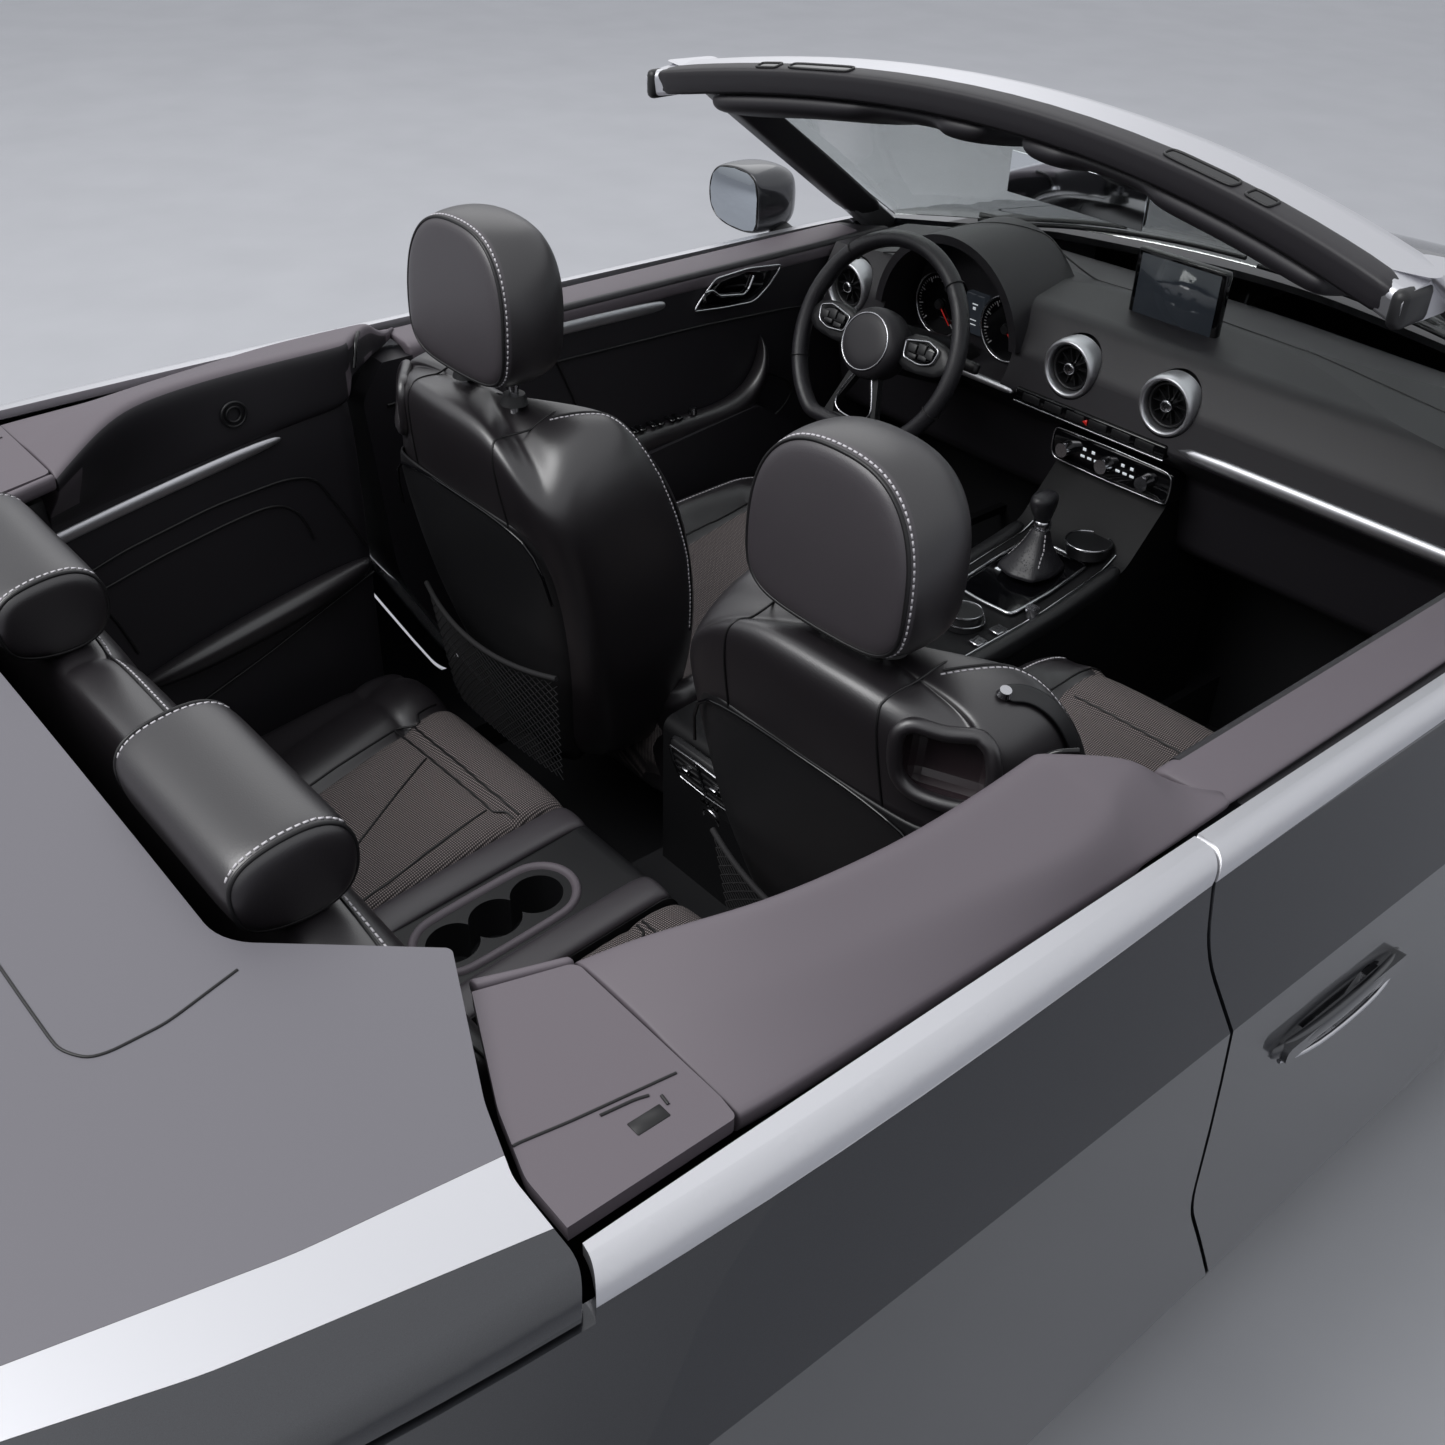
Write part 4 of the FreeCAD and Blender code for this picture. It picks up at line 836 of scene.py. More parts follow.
for half, y0, y1, lift in ((62, 598, 853, -2), (60, 600, 851, 5), (55, 605, 846, 6), (50, 610, 841, 4),
                           (48, 612, 839, -1)):
    rings.append(mm([(x, y, tray_z(y) + lift) for x, y in stadium(half, y0, y1)]))
piece("cup_holder_frame", ring_loft(rings, caps=False), soft_skin, levels=1)
for side, sign in SIDES:
    rings = []
    for y, lift in ((522, -24), (530, 2), (560, 7), (640, 7), (760, 7), (860, 5), (876, -6)):
        rings.append(mm([(sign * x, y, tray_z(y) + z) for x, z in
                         [(66, -6), (70, lift), (82, lift + 5), (112, lift + 5), (124, lift), (126, -8)]]))
    # The pads take the lighter leather, a painted sheen of the sky on their tops.
    pad = piece("rear_console_pad_" + side, ring_loft(rings), panel_leather_painted_sheen, "seat_leather", levels=2)

# The rear face of the centre console: a clipped panel with louvres in a chrome frame, a socket and keys.
tilt = Matrix.Translation(Vector((0, 0.356, 0.487))) @ rotated(-16, "X")


face = bar(bmesh.new(), (-0.068, -0.012, -0.085), (0.068, 0.006, 0.082), 0.012, 3)


def tilted(form):
    """Moves a form drawn in the console's rear face into place."""
    bmesh.ops.transform(form, matrix=tilt, verts=form.verts)
    return form


piece("console_rear_face", tilted(face), black, sharp=50)
frame_line = [(-58, 8, 8), (-62, 8, 40), (-60, 8, 74), (0, 8, 77), (60, 8, 74), (62, 8, 40), (58, 8, 8),
              (0, 8, 4)]
form = strand(bmesh.new(), spaced(mm(frame_line), 0.006, True), 0.0022, True)
strand(form, mm([(0, 8, 5), (0, 8, 76)]), 0.0018)
piece("console_rear_vent_frame", tilted(form), polished)
form = bmesh.new()
for row in range(5):
    for x in (-31, 31):
        z = (13 + row * 14) / 1000
        bar(form, (x / 1000 - 0.027, 0.004, z - 0.002), (x / 1000 + 0.027, 0.0085, z + 0.002), 0.001, 1)
piece("console_rear_louvres", tilted(form), black, sharp=40)
form = bmesh.new()
for x in (-31, 31):
    bar(form, (x / 1000 - 0.008, 0.006, 0.036), (x / 1000 + 0.008, 0.014, 0.046), 0.002, 2)
piece("console_rear_vent_tabs", tilted(form), polished, sharp=40)
form = bmesh.new()


def turns(count):
    """Even angles round a full turn."""
    return [math.tau * k / count for k in range(count)]


ring_line = [(17 * math.cos(a), 8, -45 + 17 * math.sin(a)) for a in turns(24)]
strand(form, mm(ring_line), 0.0035, True)
piece("console_rear_socket_ring", tilted(form), polished)
form = bmesh.new()
cone(form, 32, 0.0155, 0.0155, 0.006, Matrix.Translation((0, 0.007, -0.045)) @ rotated(90, "X"))
for i in range(4):
    bar(form, (-0.02 + i * 0.01, 0.005, -0.018), (-0.012 + i * 0.01, 0.009, -0.011), 0.001, 1)
piece("console_rear_socket", tilted(form), gloss, sharp=40)

# The steering wheel: a cast core foamed and wrapped in leather, flat at the bottom, with a padded hub.
lean = math.radians(22)
wheel_frame = Matrix((
    (1, 0, 0, 0.367),
    (0, -math.sin(lean), math.cos(lean), -0.303),
    (0, math.cos(lean), math.sin(lean), 0.905),
    (0, 0, 0, 1)))


rim_radius, flat_level = 171.0, -146.0
rim_line = []
for i in range(72):
    angle = math.tau * i / 72
    rim_line.append((rim_radius * math.cos(angle), max(rim_radius * math.sin(angle), flat_level)))
rings = []
for i, (x, y) in enumerate(rim_line):
    angle = math.tau * i / 72
    out = Vector((math.cos(angle), math.sin(angle), 0))
    thumb = 3.5 * max(0.0, 1 - abs(math.degrees(angle) % 180 - 24) / 14) if y > 0 else 0.0
    ring = []
    for k in range(12):
        turned_by = math.tau * k / 12
        reach_in = 14.5 + (thumb if math.cos(turned_by) < 0 else 0)
        ring.append(Vector((x, y, 0)) + out * reach_in * math.cos(turned_by) +
                    Vector((0, 0, 16 * math.sin(turned_by))))
    rings.append([p / 1000 for p in ring])
rim_form = ring_loft(rings + rings[:1], caps=False)
bmesh.ops.remove_doubles(rim_form, verts=rim_form.verts, dist=1e-6)
rim_leather, tree, shader = new_material("perforated_rim_leather", {
    "Base Color": linear("#1D1C20"), "Roughness": 0.42})
place = node(tree, "ShaderNodeTexCoord").outputs["Object"]
holes = node(tree, "ShaderNodeTexVoronoi", {"Scale": 330.0}, {"Vector": place})
dots = node(tree, "ShaderNodeMapRange", {"From Min": 0.18, "From Max": 0.32},
            {"Value": holes.outputs["Distance"]})
raised = node(tree, "ShaderNodeBump", {"Strength": 0.6, "Distance": 0.0006},
              {"Height": dots.outputs["Result"]})
tree.links.new(raised.outputs["Normal"], shader.inputs["Normal"])


def on_wheel(form):
    """Moves a form drawn in the wheel's plane, X to the car's left, Y up the rim and Z to the driver."""
    bmesh.ops.transform(form, matrix=wheel_frame, verts=form.verts)
    return form


rim = piece("steering_rim", on_wheel(rim_form), rim_leather, body="steering_wheel", levels=1,
            stands_for=["steering_wheel"])
form = bmesh.new()
for degrees in (48, 132, 204, 336):
    angle = math.radians(degrees)
    out = Vector((math.cos(angle), math.sin(angle), 0))
    centre = out * rim_radius
    loop = [centre + out * 15.6 * math.cos(a) + Vector((0, 0, 17 * math.sin(a))) for a in
            turns(16)]
    strand(form, [p / 1000 for p in loop], 0.0012, True)
piece("steering_rim_joins", on_wheel(form), piping, "grip_leather", "steering_wheel")
# Spokes: outline of each arm, then its rise towards the driver at hub and rim
SPOKES = [
    ("left", [(46, 34), (100, 44), (158, 34), (166, 2), (150, -18), (100, -22), (50, -26)]),
    ("right", [(-46, 34), (-100, 44), (-158, 34), (-166, 2), (-150, -18), (-100, -22), (-50, -26)]),
]
for side, outline_points in SPOKES:
    rings = [mm([(x * s, y * s + (1 - s) * 6, z) for x, y in outline_points])
             for s, z in ((0.97, -16), (1.0, -12), (1.0, 2), (0.97, 6))]
    form = ring_loft(rings)
    piece("steering_spoke_" + side, on_wheel(form), black, body="steering_wheel", levels=1)


def block(form, a, b, radius=0.0, segments=2):
    """Adds a bar between two opposite corners in millimetres, in either order."""
    spans = [sorted(span) for span in zip(a, b)]
    return bar(form, *mm(zip(*spans)), radius, segments)


for side, sign in SIDES:
    pod = [(66, 24), (112, 34), (138, 26), (132, 2), (108, -6), (70, -2)]
    rings = [mm([(sign * x, y, z) for x, y in pod]) for z in (2, 10)]
    piece("steering_pod_" + side, on_wheel(ring_loft(rings)), gloss, body="steering_wheel", levels=1)
    form = strand(bmesh.new(), spaced(mm([(sign * x, y, 9.5) for x, y in pod]), 0.008, True), 0.0016, True)
    piece("steering_pod_frame_" + side, on_wheel(form), polished, body="steering_wheel")
    form = bmesh.new()
    for x, y, w, h in ((84, 16, 9, 7), (104, 19, 8, 8), (122, 14, 8, 7), (88, 4, 9, 4), (110, 6, 9, 4)):
        x *= sign
        block(form, (x - w, y - h, 8), (x + w, y + h, 12), 0.0015, 2)
    piece("steering_keys_" + side, on_wheel(form), black, body="steering_wheel", sharp=40)
rings = []
for radius, z in ((52, -34), (60, -20), (62, 4), (60, 20), (52, 30), (40, 34), (20, 35)):
    rings.append(mm([(radius * 1.02 * math.cos(a), radius * 0.98 * math.sin(a) - 2, z)
                  for a in turns(32)]))
piece("steering_hub", on_wheel(ring_loft(rings)), dash_skin, "grip_leather", "steering_wheel", levels=1)
form = strand(bmesh.new(), mm([(49 * math.cos(a), 47 * math.sin(a) - 2, 31) for a in
                            turns(32)]), 0.0014, True)
piece("steering_hub_ring", on_wheel(form), polished, body="steering_wheel")
v_line = [(-20, -56), (-34, -84), (-44, -112), (-30, -126), (0, -130), (30, -126), (44, -112), (34, -84),
          (20, -56)]
v_arms = bmesh.new()
for sign in (-1, 1):
    arm = [(sign * 12, -50), (sign * 32, -50), (sign * 64, -146), (sign * 34, -148), (sign * 44, -116)]
    merge(v_arms, ring_loft([mm([(x, y, z) for x, y in arm]) for z in (-10, 4)]))
bar(v_arms, (-0.046, -0.156, -0.010), (0.046, -0.130, 0.004), 0.004, 2)
piece("steering_lower_spoke", on_wheel(v_arms), black, body="steering_wheel", sharp=40)
form = strand(bmesh.new(), mm([(x, y, 5) for x, y in v_line]), 0.0018)
piece("steering_lower_frame", on_wheel(form), polished, body="steering_wheel")
stalks = bmesh.new()
for sign in (-1, 1):
    strand(stalks, mm([(sign * x, y, z) for x, y, z in ((50, 10, -62), (110, 14, -58), (150, 18, -54))]),
           0.007)
    block(stalks, (sign * 150 - 26, 8, -62), (sign * 150 + 26, 27, -47), 0.005, 2)
piece("column_stalks", on_wheel(stalks), black, sharp=50)

# The instruments: two clocks under a clear cover, with a panel display between them.
dial_x, dial_y, dial_z = 367, -543, 900
for side, sign in SIDES:
    centre_x = dial_x + sign * 78
    form = strand(bmesh.new(), mm([(centre_x + 57 * math.cos(a), dial_y + 1, dial_z + 57 * math.sin(a))
                                   for a in turns(36)]), 0.0022, True)
    piece("dial_ring_" + side, form, polished)
    ticks = bmesh.new()
    for k in range(41):
        angle = math.radians(225 - k * 270 / 40)
        reach = 9 if k % 5 == 0 else 4
        out = Vector((math.cos(angle), 0, math.sin(angle)))
        turned_by = Matrix.Rotation(-angle, 4, "Y")
        size = Matrix.Diagonal((reach / 1000, 0.0008, (0.0018 if reach > 5 else 0.0009), 1))
        middle = Vector((centre_x, dial_y + 0.8, dial_z)) + out * (50 - reach / 2)
        bmesh.ops.create_cube(ticks, size=1.0, matrix=Matrix.Translation(middle / 1000) @ turned_by @ size)
    piece("dial_ticks_" + side, ticks, thread, "gloss_black")
    needle = bmesh.new()
    angle = math.radians(228)
    out = Vector((math.cos(angle), 0, math.sin(angle)))
    middle = Vector((centre_x, dial_y + 3, dial_z)) + out * 20
    bmesh.ops.create_cube(needle, size=1.0, matrix=Matrix.Translation(middle / 1000) @
                          Matrix.Rotation(-angle, 4, "Y") @ Matrix.Diagonal((0.044, 0.001, 0.002, 1)))
    if side == "left":
        needle_red = new_material("needle_red", {"Base Color": linear("#B4231E"), "Roughness": 0.4,
                                                 "Emission Color": linear("#B4231E"),
                                                 "Emission Strength": 0.3})[0]
    piece("dial_needle_" + side, needle, needle_red, "red_lens")
    boss = bmesh.new()
    cone(boss, 24, 0.010, 0.008, 0.006, Matrix.Translation(Vector((centre_x, dial_y + 4, dial_z)) / 1000) @
                          rotated(-90, "X"))
    piece("dial_boss_" + side, boss, black, "gloss_black", sharp=40)
display = new_material("display_glass", {"Base Color": linear("#25282D"), "Roughness": 0.1,
                                         "Emission Color": linear("#3A4048"), "Emission Strength": 0.25})[0]
panel = bar(bmesh.new(), (0.345, -0.561, 0.868), (0.389, -0.544, 0.940), 0.003, 2)
piece("display_panel", panel, display, "gloss_black", sharp=40)
backing = bar(bmesh.new(), (0.225, -0.575, 0.838), (0.509, -0.561, 0.962), 0.010, 3)
piece("instrument_backing", backing, gloss, sharp=50)
marks = bmesh.new()
for x, z, w, h in ((359, 921, 12, 2), (363, 912, 6, 5), (359, 893, 14, 1.5), (359, 885, 14, 1.5)):
    block(marks, (x, -544, z), (x + w, -543.2, z + h))
lit = new_material("display_marks", {"Base Color": linear("#C8CDD2"), "Roughness": 0.5,
                                     "Emission Color": linear("#C8CDD2"), "Emission Strength": 0.6})[0]
piece("display_marks", marks, lit)

# The air vents: chromed rings around a turning barrel with fins and a centre knob.


def barrel(x, z, profile, count):
    """An open turned form whose axis runs along the car. The profile gives radius and place along it."""
    return ring_loft([mm([(x + r * math.cos(a), y, z + r * math.sin(a)) for a in turns(count)])
                      for r, y in profile], caps=False)


for index, (x, z) in enumerate([(-610, 900), (-95, 907), (95, 907), (610, 900)]):
    shell_form = barrel(x, z, ((49.5, -500), (50, -474), (48, -466), (44, -463), (40, -466), (38.5, -474),
                               (38, -492)), 40)
    piece("vent_ring_%d" % index, shell_form, brushed, "vent_chrome", levels=1,
          stands_for=["air_vents"] if index == 0 else ())
    inside = barrel(x, z, ((37.5, -498), (37.5, -476), (33, -474), (31, -480), (30, -498)), 32)
    piece("vent_barrel_%d" % index, inside, black, levels=1)
    fins = bmesh.new()
    for k in range(10):
        angle = math.tau * k / 10
        bmesh.ops.create_cube(fins, size=1.0, matrix=Matrix.Translation(Vector((x, -486, z)) / 1000) @
                              Matrix.Rotation(angle, 4, "Y") @ Matrix.Translation((0.021, 0, 0)) @
                              Matrix.Diagonal((0.022, 0.010, 0.0014, 1)))
    cone(fins, 32, 0.034, 0.034, 0.003, Matrix.Translation(Vector((x, -496, z)) / 1000) @ rotated(90, "X"))
    piece("vent_fins_%d" % index, fins, black, sharp=40)
    knob = barrel(x, z, ((10, -488), (11, -472), (9.5, -468), (7, -468), (6.5, -474)), 24)
    piece("vent_knob_%d" % index, knob, polished, levels=1)

# The dash top and face: a foamed skin with a pressed line, bright strips, a row of keys and the screen.
skin = surface(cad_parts["dashboard"])
form = strand(bmesh.new(), on_skin(spaced(mm([(571, -480, 1030), (431, -560, 1069), (294, -640, 1070),
                                              (104, -680, 1060), (-107, -660, 1060), (-330, -640, 1050),
                                              (-660, -620, 1020)]), 0.02), skin, 0.0), 0.0016)
piece("dash_top_line", form, piping, "soft_trim")
strip_form = ring_loft([mm([(x, y, z) for y, z in ((-470, 836), (-461, 838), (-458, 848), (-461, 862),
                                                   (-472, 864))]) for x in (-684, -600, -300, -122)])
piece("dash_strip_right", strip_form, brushed, levels=1)
strip_form = ring_loft([mm([(x, y, z) for y, z in ((-470, 828), (-461, 829), (-458, 835), (-461, 842),
                                                   (-472, 844))]) for x in (190, 230, 420, 684)])
piece("dash_strip_left", strip_form, brushed, levels=1)
row = bar(bmesh.new(), (-0.118, -0.478, 0.828), (0.186, -0.458, 0.850), 0.003, 2)
piece("dash_key_row", row, gloss, sharp=50)
keys = bmesh.new()
for k in range(6):
    x = 0.150 - k * 0.046
    bar(keys, (x - 0.018, -0.462, 0.833), (x + 0.018, -0.4555, 0.846), 0.0015, 2)
piece("dash_keys", keys, black, sharp=40)
form = strand(bmesh.new(), mm([(186, -457, 827), (40, -456, 827), (-118, -457, 827)]), 0.0015)
piece("dash_key_row_edge", form, polished)
hazard = bmesh.new()
cone(hazard, 3, 0.006, 0.006, 0.001, Matrix.Translation((0.035, -0.4548, 0.839)) @ rotated(90, "X") @
                      rotated(30, "Z"))
piece("hazard_mark", hazard, needle_red, "red_lens")
screen_case = bar(bmesh.new(), (-0.084, -0.604, 0.945), (0.084, -0.588, 1.088), 0.005, 3)
piece("screen_case", screen_case, gloss, sharp=50, stands_for=["screen"])
glass_face = bar(bmesh.new(), (-0.074, -0.5882, 0.962), (0.074, -0.5873, 1.080))
piece("screen_face", glass_face, display, "gloss_black")

# The climate panel under the keys: gloss black in a chrome frame, with three turned knobs.
panel = bar(bmesh.new(), (-0.125, -0.528, 0.742), (0.116, -0.486, 0.797), 0.006, 3)
piece("climate_panel", panel, gloss, sharp=50)
frame_points = mm([(112, -486, 797), (116, -486, 770), (112, -486, 743), (0, -486, 741),
                   (-121, -486, 743), (-125, -486, 770), (-121, -486, 797), (0, -486, 799)])
form = strand(bmesh.new(), spaced(frame_points, 0.016, True), 0.0018, True)
piece("climate_frame", form, polished)
knobs = bmesh.new()
for x in (81, 0, -81):
    cone(knobs, 32, 0.0135, 0.012, 0.022, Matrix.Translation(Vector((x, -477, 770)) / 1000) @
         rotated(-90, "X"))
piece("climate_knobs", knobs, polished, sharp=40)
marks = bmesh.new()
for x in (-50, -36, -22, 22, 36, 50):
    block(marks, (x - 4, -486, 764), (x + 4, -485, 768))
for x in (-48, -30, 30, 48):
    block(marks, (x - 3, -486, 776), (x + 3, -485, 781))
piece("climate_marks", marks, lit)

# The console's top: padded edges, a lever in its gaiter and frame, turning knobs and a cup in its holder.
skin = surface(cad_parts["centre_console"])
RAIL_SECTION = ((86, -6), (88, 3), (96, 8), (108, 7), (115, 1), (116, -16), (112, -30), (100, -12))
for side, sign in SIDES:
    rings = []
    for y, z in ((-420, 645), (-380, 634), (-300, 621), (-240, 612), (-100, 600), (40, 593), (60, 591)):
        rings.append(mm([(sign * x, y, z + up) for x, up in RAIL_SECTION]))
    piece("console_rail_" + side, ring_loft(rings), black, "soft_trim", levels=2)
    line = [(sign * 84, -418, 668), (sign * 86, -330, 630), (sign * 86, -200, 612), (sign * 86, 30, 596)]
    form = strand(bmesh.new(), on_skin(spaced(mm(line), 0.02), skin, 0.001), 0.0016)
    piece("console_rail_line_" + side, form, polished)


corners = [(62, -392), (64, -300), (60, -208), (0, -204), (-60, -208), (-64, -300), (-62, -392), (0, -396)]


def on_console(x, y):
    """A place on the console's top."""
    return skin.ray_cast(Vector((x / 1000, y / 1000, 1.0)), Vector((0, 0, -1)))[0]


rim_points = [on_console(x, y) + Vector((0, 0, 0.004)) for x, y in corners]
form = strand(bmesh.new(), spaced(rim_points, 0.016, True), 0.0034, True)
piece("lever_frame", form, polished)
plate_form = bmesh.new()
plate_form.faces.new([plate_form.verts.new(point - Vector((0, 0, 0.0015))) for point in rim_points])
piece("lever_plate", plate_form, gloss)
rings = []
for k, (share, half_x, half_y) in enumerate(((0, 48, 56), (0.12, 46, 52), (0.3, 36, 38), (0.5, 26, 27),
                                             (0.7, 19, 20), (0.86, 15, 15), (1, 12, 12))):
    base_z = on_console(0, -335).z * 1000 + 3
    ring = []
    for i in range(24):
        angle = math.tau * i / 24
        pleat = 1 + (0.07 if i % 3 == 0 else -0.03) * (1 - share)
        c, t = math.cos(angle), math.sin(angle)
        ring.append(Vector((half_x * pleat * squared(c, 0.7), -322 - 13 * share + half_y * pleat *
                            squared(t, 0.7), base_z + (704 - base_z) * share)) / 1000)
    rings.append(ring)
boot = piece("lever_gaiter", ring_loft(rings), rim_leather, levels=1, stands_for=["gear_lever"])
double_stitch("lever_gaiter_stitch", [[(24, -300, 640), (16, -322, 670), (9, -331, 700)],
                                      [(-24, -300, 640), (-16, -322, 670), (-9, -331, 700)]], surface(boot),
              slot="grip_leather")
rings = []
for radius, z in ((13, 698), (15, 702), (15, 712), (13, 715)):
    rings.append(mm([(radius * math.cos(a), -335 + radius * math.sin(a), z) for a in
                  turns(24)]))
piece("lever_collar", ring_loft(rings), polished, sharp=40)
rings = []
for half_x, half_y, z, push in ((11, 11, 712, 0), (15, 17, 724, 2), (19, 25, 740, 4), (20, 28, 752, 4),
                                (17, 24, 761, 3), (8, 12, 765, 2)):
    rings.append(mm([(half_x * math.cos(a), -335 + push + half_y * math.sin(a), z) for a in
                  turns(24)]))
piece("lever_knob", ring_loft(rings), rim_leather, levels=1)
shift_marks = bmesh.new()
for k in range(4):
    place = on_console(40, -370 + k * 26) + Vector((0, 0, 0.004))
    bar(shift_marks, place - Vector((0.005, 0.004, 0.0006)), place + Vector((0.005, 0.004, 0.0006)))
piece("lever_marks", shift_marks, lit)
turner = bmesh.new()
place = on_console(-22, -140)
for radius, low_z, high_z in ((0.033, 0.0, 0.010), (0.028, 0.010, 0.024)):
    middle = place + Vector((0, 0, (low_z + high_z) / 2))
    cone(turner, 40, radius, radius * 0.97, high_z - low_z, Matrix.Translation(middle))
piece("turning_knob", turner, black, sharp=40)
form = bmesh.new()
for radius, lift in ((0.033, 0.010), (0.0285, 0.024)):
    strand(form, [place + Vector((radius * math.cos(a), radius * math.sin(a), lift)) for a in
                  turns(32)], 0.0015, True)
for sign in (1, -1):
    for y0, y1 in ((-176, -150), (-128, -104)):
        middle_x = -22 + sign * 52
        a, b = on_console(middle_x - 11, y0), on_console(middle_x + 11, y1)
        bar(form, Vector((min(a.x, b.x), a.y, a.z + 0.001)), Vector((max(a.x, b.x), b.y, a.z + 0.0045)),
            0.0012, 1)
piece("turning_knob_keys", form, polished, sharp=40)
start = bmesh.new()
place = on_console(-96 + 14, -232)
cone(start, 28, 0.0115, 0.0105, 0.016, Matrix.Translation(place + Vector((0, 0, 0.010))))
piece("volume_knob", start, polished, sharp=40)
cup = bmesh.new()
place = on_console(-40, -418)
cone(cup, 40, 0.035, 0.038, 0.020, Matrix.Translation(place + Vector((0, 0.004, 0.014))))
piece("holder_cup", cup, black, sharp=40)
form = strand(bmesh.new(), [place + Vector((0.0375 * math.cos(a), 0.004 + 0.0375 * math.sin(a), 0.0245))
                            for a in turns(32)], 0.002, True)
piece("holder_cup_rim", form, polished)

# The trims of the rear cabin: soft-skinned mouldings that rise from the belt line to a crest and roll in.
# Along; crest, crease and outer edge, each with its height; underside; foot of the inner face
TRIM_ROWS = [
    (377, 764, 962, 768, 962, 776, 958, 949, 950), (384, 758, 965, 764, 964, 777, 959, 948, 950),
    (408, 735, 967, 745, 967, 778, 960, 948, 950), (434, 714, 984, 728, 984, 778, 960, 948, 950),
    (450, 703, 1001, 719, 1000, 778, 959, 948, 950), (476, 680, 1007, 717, 1001, 778, 958, 948, 950),
    (505, 655, 1009, 728, 997, 778, 958, 948, 950), (520, 643, 1009, 736, 994, 778, 958, 947, 950),
    (524, 641, 1009, 738, 993, 778, 958, 933, 914), (560, 643, 1008, 746, 990, 778, 958, 932, 908),
    (610, 646, 1007, 746, 989, 777, 958, 931, 904), (700, 648, 1006, 732, 989, 776, 958, 931, 892),
    (780, 641, 1006, 721, 988, 775, 958, 931, 880), (850, 629, 1004, 711, 986, 774, 958, 931, 869),
    (900, 605, 995, 701, 982, 773, 958, 931, 860), (945, 578, 980, 688, 974, 772, 958, 931, 852),
    (975, 562, 967, 676, 965, 770, 958, 931, 847), (984, 557, 963, 673, 962, 769, 958, 931, 845),
    (985, 557, 962, 672, 961, 769, 957, 931, 845)]
for side, sign in SIDES:
    rings = []
    for y, x0, z0, x1, z1, x2, z2, low, foot in TRIM_ROWS:
        wide = x1 - x0
        wall_x = 640 if foot < 940 else x0 + 2
        drop = z0 - foot
        ring = [(x2, low), (x2, z2 - 2), (x2 - 3, z2), (x1 + min(8, wide * 0.3), z1 - 3),
                (x1 - min(8, wide * 0.3), z1 + 1), (x0 + wide * 0.5, (z0 + z1) / 2 + 1),
                (x0 + min(18, wide * 0.25), z0 - 0.5), (x0 + min(4, wide * 0.1), z0 - drop * 0.06),
                (x0, z0 - drop * 0.2), (x0 + (wall_x - x0) * 0.45, z0 - drop * 0.5),
                (wall_x, z0 - drop * 0.8), (wall_x, foot), (wall_x + 16, foot), (x2 - 24, low)]
        rings.append(mm([(sign * x, y, z) for x, z in ring]))
    form = ring_loft(rings)
    trim = piece("rear_top_trim_" + side, form, soft_skin, levels=2,
                 stands_for=["rear_side_trims"] if side == "left" else ())
    # Faces turned in towards the cabin take the dark dash skin: painted shade on the inner side of the one
    # soft moulding.
    two_tone_and_painted_light(trim, dash_skin, lambda c, n: sign * n.x < -0.75)
    # The narrow rim between the flap and the cabin
    rings = []
    for y, inner_x, outer_x in ((985.5, 557, 568), (990, 555, 568), (1015, 547, 559), (1040, 538, 551),
                                (1062, 529, 544), (1064, 528, 543)):
        rings.append(mm([(sign * x, y, z) for x, z in ((outer_x, 940), (outer_x, 961),
                                                       (outer_x - 3, 962.5), (inner_x + 3, 962),
                                                       (inner_x, 957), (inner_x + 1, 940))]))
    piece("rear_flap_rim_" + side, ring_loft(rings), soft_skin, levels=1)
    # The wall below: its front and rear edges lean back as they rise
    rings = []
    for share in (0, 0.006, 0.25, 0.5, 0.75, 0.994, 1):
        y_low, y_high = 523 + 497 * share, 524 + 590 * share
        ring = []
        for x, z in ((652, 945), (646, 915), (641, 880), (640, 800), (640, 640), (640, 480), (643, 330),
                     (650, 312), (700, 312), (704, 500), (704, 800), (700, 945)):
            top = min(z, 945 - 75 * max(0.0, share - 0.1) if z > 860 else z)
            ring.append(Vector((sign * x, y_low + (y_high - y_low) * (z - 312) / 633, top)) / 1000)
        rings.append(ring)
    piece("rear_wall_" + side, ring_loft(rings), dash_skin, levels=1, sharp=50)

